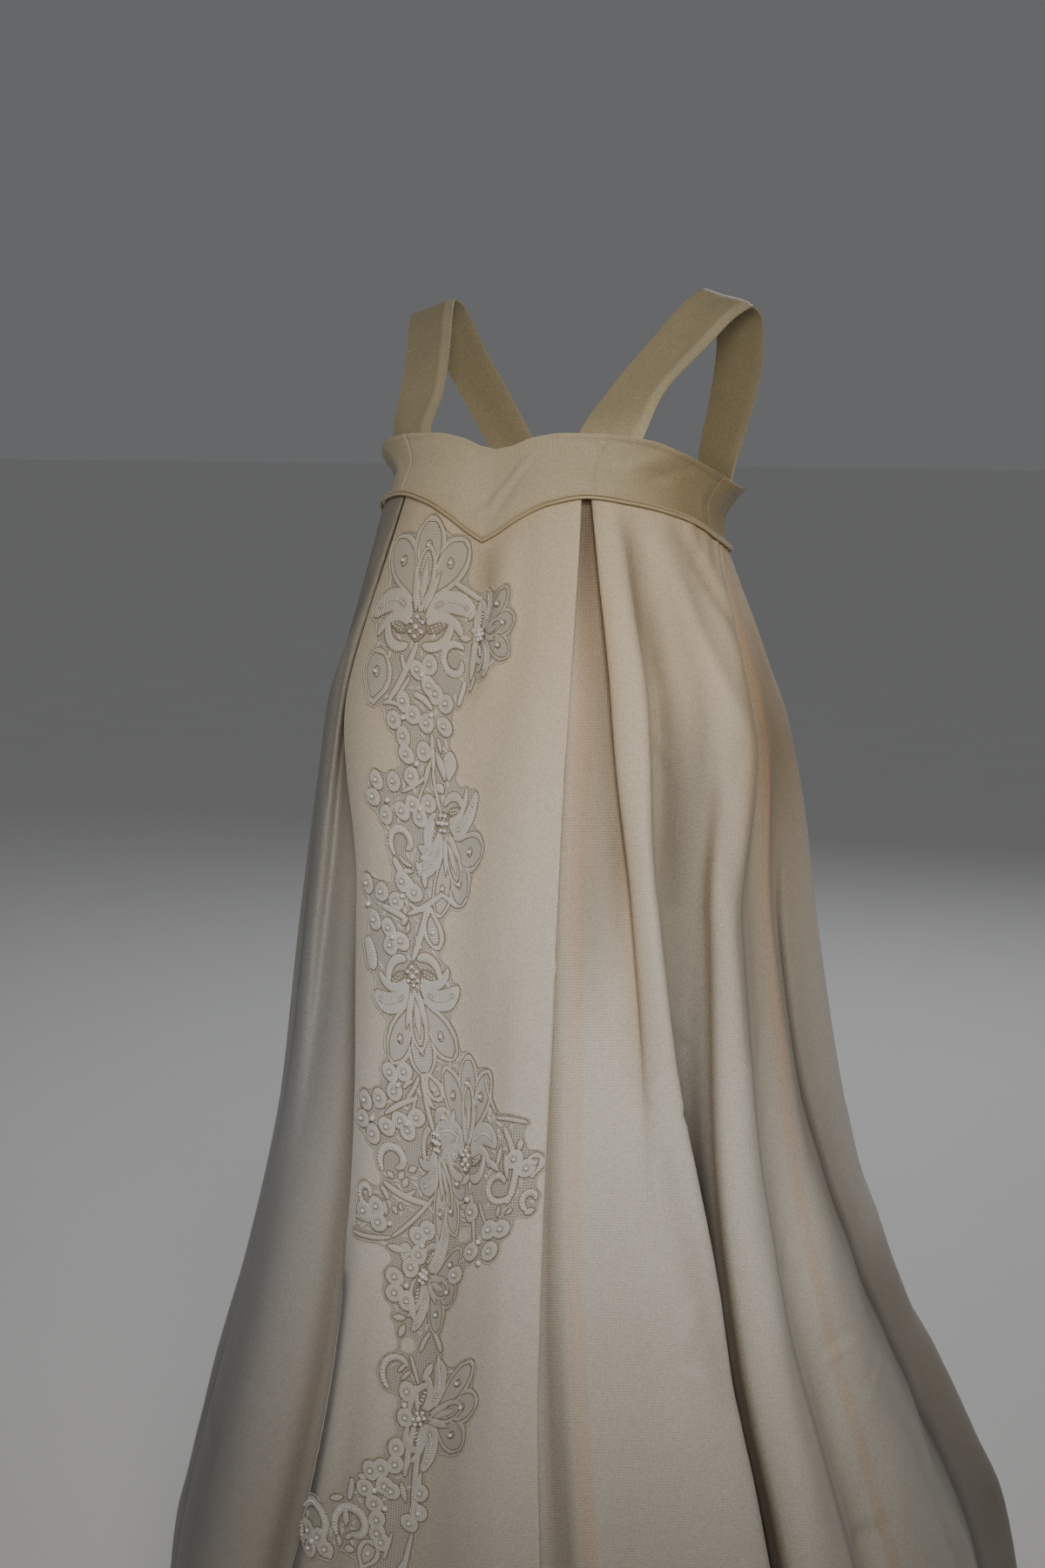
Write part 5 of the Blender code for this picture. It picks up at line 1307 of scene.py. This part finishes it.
LACE_NET = 0.0003
NET_STEP = 1.6
NET_REACH = 8.0  # motifs nearer than twice this are joined by net
NET_DRAW_IN = 6.0
NET_LIFT = 0.75
NET_MARGIN = 16.0
NET_ACROSS = (-134.0, 114.0)
NET_BELOW = (-4.0, 1106.0)
NET_FAR = 60.0  # farther than any place that is looked at
NET_OUTLINE_POINTS = 32
RIM_SHIFT = 1.2
RIM_LEAST_SLOPE = 0.2
RIM_SMOOTHINGS = 3
RIM_SMOOTHING = 0.4
RIM_FEWEST_POINTS = 12
net_x = np.arange(*NET_ACROSS, NET_STEP)
net_y = np.arange(*NET_BELOW, NET_STEP)
to_motif = np.full((len(net_y), len(net_x)), NET_FAR)
for motif, flower in lace:
    outline = motif_outline(motif, flower, NET_OUTLINE_POINTS)
    low = outline.min(axis=0) - NET_MARGIN
    high = outline.max(axis=0) + NET_MARGIN
    columns = np.flatnonzero((net_x > low[0]) & (net_x < high[0]))
    lines = np.flatnonzero((net_y > low[1]) & (net_y < high[1]))
    patch = np.stack(np.meshgrid(net_x[columns], net_y[lines]), axis=-1)
    found = distance_outside(patch.reshape(-1, 2), outline).reshape(patch.shape[:2])
    area = np.ix_(lines, columns)
    to_motif[area] = np.minimum(to_motif[area], found)
reach = int(NET_DRAW_IN / NET_STEP + 0.5)
field = to_motif.copy()
for shift_y in range(-reach, reach + 1):
    for shift_x in range(-reach, reach + 1):
        if math.hypot(shift_x, shift_y) * NET_STEP <= NET_DRAW_IN:
            field = np.maximum(field, np.roll(to_motif, (shift_y, shift_x), axis=(0, 1)))
slope_y, slope_x = np.gradient(field, NET_STEP)


def net_cell(x, y):
    """The line and column of the net's grid nearest to a place."""
    return round((y - net_y[0]) / NET_STEP), round((x - net_x[0]) / NET_STEP)


# small loose stitches fill the net between the motifs
SPRIG_SPACING = 5.4
SPRIG_INSET = 2.6
SPRIGS_ACROSS = (-126.0, 106.0)
SPRIGS_BELOW = (8.0, 1090.0)
SPRIG_SHIFT = 1.5
SPRIG_LEAST = (5.5, 2.4, -0.6)  # length, width and lean in radians
SPRIG_MOST = (9.0, 3.6, 0.6)
SPRIG_FROM_MOTIF = 1.6
SPRIG_APART = 4.6
SPRIG_BEND = 25
SPRIG_SEED = 11
sprig_draw = np.random.default_rng(SPRIG_SEED)
sprig_spots = np.empty((0, 2))
net_slope_y, net_slope_x = np.gradient(to_motif, NET_STEP)
for below in np.arange(*SPRIGS_BELOW, SPRIG_SPACING):
    for across in np.arange(*SPRIGS_ACROSS, SPRIG_SPACING):
        x, y = np.array([across, below]) + sprig_draw.uniform(-SPRIG_SHIFT, SPRIG_SHIFT, 2)
        long, wide, lean = sprig_draw.uniform(SPRIG_LEAST, SPRIG_MOST)
        cell = net_cell(x, y)
        if to_motif[cell] < SPRIG_FROM_MOTIF or field[cell] > NET_REACH - SPRIG_INSET:
            continue
        if len(sprig_spots) and np.hypot(*(sprig_spots - (x, y)).T).min() < SPRIG_APART:
            continue
        sprig_spots = np.vstack([sprig_spots, (x, y)])
        turn = math.atan2(net_slope_x[cell], -net_slope_y[cell]) + lean
        run_x = math.cos(turn) * long / 2
        run_y = math.sin(turn) * long / 2
        lace.append((Motif("sprig", x - run_x, y - run_y, x + run_x, y + run_y, wide, SPRIG_BEND), None))

mesh = bmesh.new()
bmesh.ops.create_grid(mesh, x_segments=len(net_x) - 1, y_segments=len(net_y) - 1, size=1.0)
for vertex in mesh.verts:
    line, column = grid_place(vertex, len(net_y) - 1, len(net_x) - 1)
    vertex.co = (net_x[column], net_y[line], 0.0)
off_net = [f for f in mesh.faces if sum(field[net_cell(v.co.x, v.co.y)] for v in f.verts) / 4 > NET_REACH]
bmesh.ops.delete(mesh, geom=off_net, context="FACES")
for vertex in [v for v in mesh.verts if v.is_boundary]:
    cell = net_cell(vertex.co.x, vertex.co.y)
    steep = max(slope_x[cell] ** 2 + slope_y[cell] ** 2, RIM_LEAST_SLOPE)
    over = np.clip((field[cell] - NET_REACH) / steep, -RIM_SHIFT, RIM_SHIFT)
    vertex.co.x -= over * slope_x[cell]
    vertex.co.y -= over * slope_y[cell]
edge_verts = [v for v in mesh.verts if v.is_boundary]
for _ in range(RIM_SMOOTHINGS):
    bmesh.ops.smooth_vert(mesh, verts=edge_verts, factor=RIM_SMOOTHING, use_axis_x=True, use_axis_y=True)
# follow the rim round, to lay the outer cord on it
net_rims = []
waiting = {edge for edge in mesh.edges if edge.is_boundary}
while waiting:
    edge = waiting.pop()
    rim = [edge.verts[0], edge.verts[1]]
    while True:
        onward = [e for e in rim[-1].link_edges if e in waiting]
        if not onward:
            break
        waiting.discard(onward[0])
        rim.append(onward[0].other_vert(rim[-1]))
    if rim[0] == rim[-1] and len(rim) > RIM_FEWEST_POINTS:
        net_rims.append(np.array([v.co.xy for v in rim[:-1]]))
flat_net = np.array([v.co.xy for v in mesh.verts])
bmesh.ops.reverse_faces(mesh, faces=mesh.faces[:])
for vertex, place in zip(mesh.verts, on_panel(flat_net, NET_LIFT)):
    vertex.co = place
chart = mesh.loops.layers.uv.new("cloth")
mesh.verts.index_update()
for face in mesh.faces:
    for loop in face.loops:
        loop[chart].uv = flat_net[loop.vert.index] / 1000
net_data = mesh_data("lace_net", mesh)
net_data.shade_smooth()
lace_net = shown("lace_net", net_data)
thicken(lace_net, LACE_NET)

NET_MESH = 0.0022  # real net has holes of about 1 mm, drawn at twice that so that they show
cotton_net, net_shader = new_material("cotton_net", 0.78, 0.1)
net_cut = add_node(cotton_net, "ShaderNodeUVMap", uv_map="cloth").outputs["UV"]
holes = add_node(
    cotton_net,
    "ShaderNodeTexVoronoi",
    [("Vector", net_cut), ("Scale", 1 / NET_MESH), ("Randomness", 0.35)],
    voronoi_dimensions="2D",
    feature="DISTANCE_TO_EDGE",
)
thread = ranged(cotton_net, holes.outputs["Distance"], 0.06, 0.20, 1.0, 0.0)
# the threads are pale, and the holes show the satin under the net, painted darker as the shade beneath it
net_colour = mixed(cotton_net, thread, linear("B3AEA4"), linear("F0EEE8"))

# The lace is tinted warm at the top, partly yellowing with the silk and partly painted warm light, and darker lower
# down as painted shade below the thighs. A tint grows from nothing at one height to the most at another.
Tint = namedtuple("Tint", "none_z most_z most colour")
LACE_TONE_AND_SHADE = (Tint(-0.50, -0.24, 0.50, "F4E2C0"), Tint(-0.62, -0.86, 0.30, "B9AE98"))


def lace_tone_and_shade(material, colour):
    """The lace's colour multiplied by its tint at each height: warm at the top, and painted shade lower down."""
    place = add_node(material, "ShaderNodeTexCoord").outputs["Object"]
    height = add_node(material, "ShaderNodeSeparateXYZ", [("Vector", place)]).outputs["Z"]
    for tint in LACE_TONE_AND_SHADE:
        share = ranged(material, height, tint.none_z, tint.most_z, 0.0, tint.most)
        colour = mixed(material, share, colour, linear(tint.colour), "MULTIPLY")
    return colour


cotton_net.node_tree.links.new(lace_tone_and_shade(cotton_net, net_colour), net_shader.inputs["Base Color"])
bumped(cotton_net, net_shader, thread, 0.8, 0.0005)
net_data.materials.append(cotton_net)
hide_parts("lace")
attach(lace_net, "root")


# ---------------------------------------------------------------- lace motifs
# Petals, crescents, leaves, stems, scrolls and florets worked in close satin stitch, so that each stands up from the
# net with a rounded edge. A large petal is a raised border round a lower middle, with a cord between them.

BORDER = 4.6
BORDER_SHADE = 0.4
RINGED_FROM = 15  # petals at least this wide have a raised border
PAD_HEIGHT = 1.15
PAD_ROUND = 1.6
MIDDLE_HEIGHT = 0.7
FLORET_HEART = 3.2
MERGE = 0.00001  # metres
BEAD_SHADE = 2.0
BEAD_SHADE_FROM = 0.2
BEAD_SHADE_TO = 0.85
BEADED_PAD = 0.35
MIDDLE_EDGE = 0.5
START_EDGE = 0.6
SPRIG_EDGE = 0.0006  # keeps the darker rim off the smallest stitches
# How dark each kind's middle is, where 2 is the darkest: painted shadow round the pearls and seed beads of florets,
# crescents and beaded motifs, and a darker middle in a ringed petal.
RINGED_DARK = 0.5
CRESCENT_DARK = 1.3
FLORET_DARK = 1.5
BEADED_DARK = 2.0
# How far each kind stands off the panel in millimetres, and its mesh's steps along and across.
KIND_LIFT = {
    "petal": 0.85, "sprig": 0.95, "crescent": 1.0, "stem": 1.15, "arch": 1.2, "scroll": 1.2, "beaded": 1.25,
    "floret": 1.3, "leaf": 1.45,
}
KIND_STEPS = {
    "petal": (26, 18), "arch": (24, 16), "crescent": (22, 14), "leaf": (14, 6), "beaded": (14, 8),
    "stem": (22, 6), "scroll": (44, 6), "floret": (14, 10), "sprig": (8, 4),
}


def is_ringed(motif):
    return kind_of(motif) in ("petal", "arch") and motif.width >= RINGED_FROM


def rounded_edge(inward):
    """A quarter round, from 0 at an edge to 1."""
    return np.sqrt(np.clip(1 - (1 - np.clip(inward / PAD_ROUND, 0, 1)) ** 2, 0, 1))


def motif_height(motif, from_edge):
    """How far the stitching stands off the net, by distance from the motif's edge."""
    rounded = rounded_edge(from_edge)
    if kind_of(motif) == "beaded":
        return BEADED_PAD * PAD_HEIGHT * rounded
    if not is_ringed(motif):
        return PAD_HEIGHT * rounded
    border = PAD_HEIGHT * np.minimum(rounded, rounded_edge(BORDER - from_edge))
    return np.maximum(border, MIDDLE_HEIGHT * np.clip(from_edge / MIDDLE_EDGE, 0, 1))


def motif_patches(motifs, name, material):
    """All these motifs as one mesh of domed patches, each from a grid laid on the panel."""
    joined = bmesh.new()
    chart = joined.loops.layers.uv.new("stitch")
    edge_layer = joined.verts.layers.float.new("from_edge")
    middle_layer = joined.verts.layers.float.new("middle")
    for motif, flower in motifs:
        kind = kind_of(motif)
        steps, columns = KIND_STEPS[kind]
        length = length_of(motif)
        shares = (1 - np.cos(np.linspace(0, math.pi, steps + 1))) / 2
        shares = 0.5 * shares + 0.5 * np.linspace(0, 1, steps + 1)
        asides = np.sin(np.linspace(-1, 1, columns + 1) * math.pi / 2)
        middle, side, half = spine(motif, shares)
        flat = laid(middle[:, None] + side[:, None] * half[:, None, None] * asides[None, :, None], flower)
        from_end = np.minimum(shares * length + START_EDGE, (1 - shares) * length)[:, None]
        from_edge = np.minimum(half[:, None] * (1 - np.abs(asides[None, :])), np.abs(from_end))
        places = on_panel(flat, KIND_LIFT[kind] + motif_height(motif, from_edge))
        inner_dark = RINGED_DARK if is_ringed(motif) else 0.0
        made = bmesh.ops.create_grid(joined, x_segments=columns, y_segments=steps, size=1.0)
        for vertex in made["verts"]:
            line, column = grid_place(vertex, steps, columns)
            vertex[edge_layer] = from_edge[line, column] / 1000 + (SPRIG_EDGE if kind == "sprig" else 0.0)
            vertex[middle_layer] = inner_dark if from_edge[line, column] > BORDER - BORDER_SHADE else 0.0
            if kind == "beaded":
                vertex[middle_layer] = BEADED_DARK
            aside = asides[column] * half[line]
            if kind == "floret" and math.hypot((shares[line] - 0.5) * length, aside) < FLORET_HEART:
                vertex[middle_layer] = FLORET_DARK
            beaded_length = BEAD_SHADE_FROM < shares[line] < BEAD_SHADE_TO
            if kind == "crescent" and abs(aside) < BEAD_SHADE and beaded_length:
                vertex[middle_layer] = CRESCENT_DARK
            for loop in vertex.link_loops:
                loop[chart].uv = (shares[line] * length / 1000, aside / 1000)
            vertex.co = places[line, column]
    bmesh.ops.remove_doubles(joined, verts=joined.verts[:], dist=MERGE)
    bmesh.ops.dissolve_degenerate(joined, edges=joined.edges[:], dist=MERGE)
    bmesh.ops.recalc_face_normals(joined, faces=joined.faces[:])
    data = mesh_data(name, joined)
    data.shade_smooth()
    data.materials.append(material)
    piece = shown(name, data)
    return piece


STITCH = 0.0018  # real satin stitch lies 0.3 mm apart, drawn at six times that
satin_stitch, stitch_shader = new_material("cotton_satin_stitch", 0.66, 0.15)
stitch_cut = add_node(satin_stitch, "ShaderNodeUVMap", uv_map="stitch").outputs["UV"]
stitches = add_node(
    satin_stitch,
    "ShaderNodeTexWave",
    [("Vector", stitch_cut), ("Scale", WAVE_LENGTH / STITCH), ("Distortion", 2.5), ("Detail", 2.0)],
).outputs["Fac"]
# Painted shade along each motif's rim, partly the brown of the gimp beside it, and painted shadow in the middles
# round the pearls and seed beads.
edge_distance = add_node(satin_stitch, "ShaderNodeAttribute", attribute_name="from_edge").outputs["Fac"]
outlined = ranged(satin_stitch, edge_distance, 0.0001, 0.0010, 0.75, 0.0)
middle_dark = add_node(satin_stitch, "ShaderNodeAttribute", attribute_name="middle").outputs["Fac"]
shaded = ranged(satin_stitch, middle_dark, 0.0, BEADED_DARK, 0.0, 0.66)
stitch_tone = mixed(satin_stitch, stitches, linear("DAD6CC"), linear("FFFEFB"))
stitch_rim = mixed(satin_stitch, outlined, stitch_tone, linear("B7A98E"))
stitch_middle = mixed(satin_stitch, shaded, stitch_rim, linear("8F816A"))
stitch_colour = lace_tone_and_shade(satin_stitch, stitch_middle)
satin_stitch.node_tree.links.new(stitch_colour, stitch_shader.inputs["Base Color"])
bumped(satin_stitch, stitch_shader, stitches, 0.8, 0.0006)

BROAD_KINDS = ("petal", "arch", "crescent", "beaded")
lace_petals = motif_patches([m for m in lace if kind_of(m[0]) in BROAD_KINDS], "lace_petals", satin_stitch)
lace_stems = motif_patches([m for m in lace if kind_of(m[0]) not in BROAD_KINDS], "lace_stems", satin_stitch)
for piece in (lace_petals, lace_stems):
    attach(piece, "root")


# ---------------------------------------------------------------- lace cords
# Brownish gimp cord couched round the motifs, round the eye of each large petal and along the net's cut edge.

CORD_RADIUS = 0.0005
CORD_RISE = 0.2
EYE_SHARE = 0.58
EYE_RADIUS = 3.4
EYE_STRETCH = 1.3
EYE_POINTS = 14
EYED_OVER = 30  # petals wider than this have an eye
RINGED_POINTS = 44
PLAIN_POINTS = 24
INNER_POINTS = 36
INNER_GAP = 0.3
EDGE_CORD_RADIUS = 0.0008
EDGE_CORD_LIFT = 1.1
motif_cords = []
inner_cords = []
for motif, flower in lace:
    if kind_of(motif) == "sprig":
        continue
    lift = KIND_LIFT[kind_of(motif)] + CORD_RISE
    points = RINGED_POINTS if is_ringed(motif) else PLAIN_POINTS
    motif_cords.append(on_panel(motif_outline(motif, flower, points), lift))
    if is_ringed(motif):
        inner = motif_outline(motif, flower, INNER_POINTS, BORDER + INNER_GAP)
        inner_cords.append(on_panel(inner, lift + MIDDLE_HEIGHT))
    if kind_of(motif) == "petal" and motif.width > EYED_OVER:
        middle, _, _ = spine(motif, np.array([EYE_SHARE]))
        turns = np.linspace(0, 2 * math.pi, EYE_POINTS, endpoint=False)
        eye = middle + EYE_RADIUS * np.stack([np.cos(turns), EYE_STRETCH * np.sin(turns)], axis=1)
        inner_cords.append(on_panel(laid(eye, flower), lift + MIDDLE_HEIGHT))
gimp, _, _ = toned_material("gimp_cord", 0.7, 0.1, 700.0, "7C6C54", "AFA188")
lace_cords = tube("lace_cords", motif_cords, CORD_RADIUS, gimp, True, 0)
lace_inner_cords = tube("lace_inner_cords", inner_cords, CORD_RADIUS, gimp, True, 0)
pale_gimp, pale_shader, pale_tone = toned_material("pale_gimp_cord", 0.7, 0.1, 500.0, "C9BEA8", "F0EBE0")
pale_gimp.node_tree.links.new(lace_tone_and_shade(pale_gimp, pale_tone), pale_shader.inputs["Base Color"])
rims = [on_panel(rim, EDGE_CORD_LIFT) for rim in net_rims]
lace_edge_cord = tube("lace_edge_cord", rims, EDGE_CORD_RADIUS, pale_gimp, True, 0)
for piece in (lace_cords, lace_inner_cords, lace_edge_cord):
    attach(piece, "root")


# ---------------------------------------------------------------- pearls and seed beads
# Glass pearls sewn in the florets, the eyes of the petals and the hearts of the flowers, and rows of seed beads along
# the crescents, in the beaded leaves and down the scrolls.

PEARL = 1.8
BIG_PEARL = 2.4
SEED = 0.95
SEED_STEP = 2.3
HEART_RING = 6.6
HEART_RING_PEARLS = 6
HEART_RING_START = 0.5
HEART_RING_STRETCH = 1.15
SEED_SCATTER = 0.12
SEED_ASIDE = 0.32  # a beaded leaf has a row on each side of its middle
SEED_SPAN = (0.25, 0.80)
SCROLL_SEED_SPAN = (0.05, 0.75)
PEARL_BASE = 1.3
PEARL_SUNK = 0.75
SEED_BASE = 1.2
SEED_LIFT = 0.35
BEAD_RANDOM = 5


def beads(name, spots, radii, lifts, subdivisions, material):
    """Small balls as one mesh, each copied from one round bead."""
    mesh = bmesh.new()
    bmesh.ops.create_icosphere(mesh, subdivisions=subdivisions, radius=1.0)
    bead = mesh_data(name, mesh)
    ball = np.array([v.co for v in bead.vertices])
    faces = np.array([f.vertices for f in bead.polygons])
    bpy.data.meshes.remove(bead)
    centres = on_panel(np.array(spots, float), np.array(lifts))
    radii = np.array(radii)[:, None, None] / 1000
    points = (centres[:, None, :] + ball[None] * radii).reshape(-1, 3)
    corners = (faces[None] + np.arange(len(centres))[:, None, None] * len(ball)).reshape(-1, 3)
    data = bpy.data.meshes.new(name)
    data.from_pydata(points.tolist(), [], corners.tolist())
    data.shade_smooth()
    data.materials.append(material)
    piece = shown(name, data)
    return piece


draw = np.random.default_rng(BEAD_RANDOM)
pearl_spots = []
pearl_radii = []
seed_spots = []
for motif, flower in lace:
    kind = kind_of(motif)
    if kind == "floret" or kind == "petal" and is_ringed(motif):
        middle, _, _ = spine(motif, np.array([0.5 if kind == "floret" else EYE_SHARE]))
        pearl_spots.append(laid(middle, flower)[0])
        pearl_radii.append(PEARL)
    if kind in ("crescent", "beaded", "scroll"):
        first, last = SCROLL_SEED_SPAN if kind == "scroll" else SEED_SPAN
        rows = (-SEED_ASIDE, SEED_ASIDE) if kind == "beaded" else (0.0,)
        count = int(length_of(motif) * (last - first) / SEED_STEP)
        middle, side, half = spine(motif, np.linspace(first, last, count))
        for aside in rows:
            row = laid(middle + side * (half * aside)[:, None], flower)
            seed_spots.extend(row + draw.normal(0, SEED_SCATTER, (count, 2)))
for flower in FLOWERS:
    for k in range(HEART_RING_PEARLS):
        turn = k * math.pi / 3 + HEART_RING_START
        place = HEART_RING * np.array([[math.cos(turn), HEART_RING_STRETCH * math.sin(turn)]])
        pearl_spots.append(laid(place, flower)[0])
        pearl_radii.append(PEARL)
    pearl_spots.append(laid(np.zeros((1, 2)), flower)[0])
    pearl_radii.append(BIG_PEARL)
for spot in BLOSSOM_HEARTS:
    pearl_spots.append(np.array(spot, float))
    pearl_radii.append(BIG_PEARL)
pearl_lifts = [PEARL_BASE + PAD_HEIGHT + radius * PEARL_SUNK for radius in pearl_radii]
seed_lifts = [SEED_BASE + PAD_HEIGHT + SEED_LIFT] * len(seed_spots)

pearl, pearl_shader, _ = toned_material("glass_pearl", 0.16, 0.0, 300.0, "DEDAD2", "FFFEFB")
pearl_shader.inputs["Coat Weight"].default_value = 0.6
pearl_shader.inputs["Coat Roughness"].default_value = 0.12
pearls = beads("lace_pearls", pearl_spots, pearl_radii, pearl_lifts, 2, pearl)
seed_beads = beads("lace_seed_beads", seed_spots, [SEED] * len(seed_spots), seed_lifts, 1, pearl)
for piece in (pearls, seed_beads):
    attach(piece, "root")


# ---------------------------------------------------------------- floor, light and camera
# A pale floor just below the hem, a soft world, one narrow key lamp from the front and one broad lamp behind.

FLOOR_GAP = 0.02
FLOOR_REACH = 60.0
FLOOR_STEPS = 12
WORLD_STRENGTH = 0.17
CAMERA_PLACE = (0.941, -1.725, -0.106)
CAMERA_UP_ANGLE = math.radians(80.6)
CAMERA_TURN = math.radians(30)
CAMERA_LENS = 50
CAMERA_SENSOR = 36
mesh = bmesh.new()
bmesh.ops.create_grid(mesh, x_segments=FLOOR_STEPS, y_segments=FLOOR_STEPS, size=FLOOR_REACH)
bmesh.ops.translate(mesh, verts=mesh.verts[:], vec=(0, 0, HEM_Z - FLOOR_GAP))
floor_data = mesh_data("floor", mesh)
floor = shown("floor", floor_data)
pale, _, _ = toned_material("pale_floor", 0.95, 0.0, 3.0, "F4F3F1", "F8F7F5")
floor_data.materials.append(pale)

world = bpy.data.worlds.new("soft studio")
bpy.context.scene.world = world
world.use_nodes = True
background = world.node_tree.nodes["Background"]
background.inputs["Color"].default_value = linear("E6E8EA")
background.inputs["Strength"].default_value = WORLD_STRENGTH

Lamp = namedtuple("Lamp", "name x y z size spread power colour")
LAMPS = (
    Lamp("key", 1.02, -1.60, 0.36, 0.60, 54, 2.2, "FFF6EA"),
    Lamp("back", -0.85, 3.2, 1.5, 1.80, 180, 36.0, "F2F4FA"),
)
LAMPS_AIM = np.array([0.06, -0.20, -0.52])
for lamp in LAMPS:
    light = bpy.data.lights.new(lamp.name, "AREA")
    light.size = lamp.size
    light.spread = math.radians(lamp.spread)
    light.energy = lamp.power
    light.color = linear(lamp.colour)[:3]
    shone = shown(lamp.name, light)
    shone.location = (lamp.x, lamp.y, lamp.z)
    aim = LAMPS_AIM - np.array([lamp.x, lamp.y, lamp.z])
    tilt = math.atan2(math.hypot(aim[0], aim[1]), -aim[2])
    shone.rotation_euler = (tilt, 0, math.atan2(aim[1], aim[0]) - math.pi / 2)

camera_data = bpy.data.cameras.new("camera")
camera_data.lens = CAMERA_LENS
camera_data.sensor_width = CAMERA_SENSOR
camera = shown("camera", camera_data)
camera.location = CAMERA_PLACE
camera.rotation_euler = (CAMERA_UP_ANGLE, 0, CAMERA_TURN)
bpy.context.scene.camera = camera
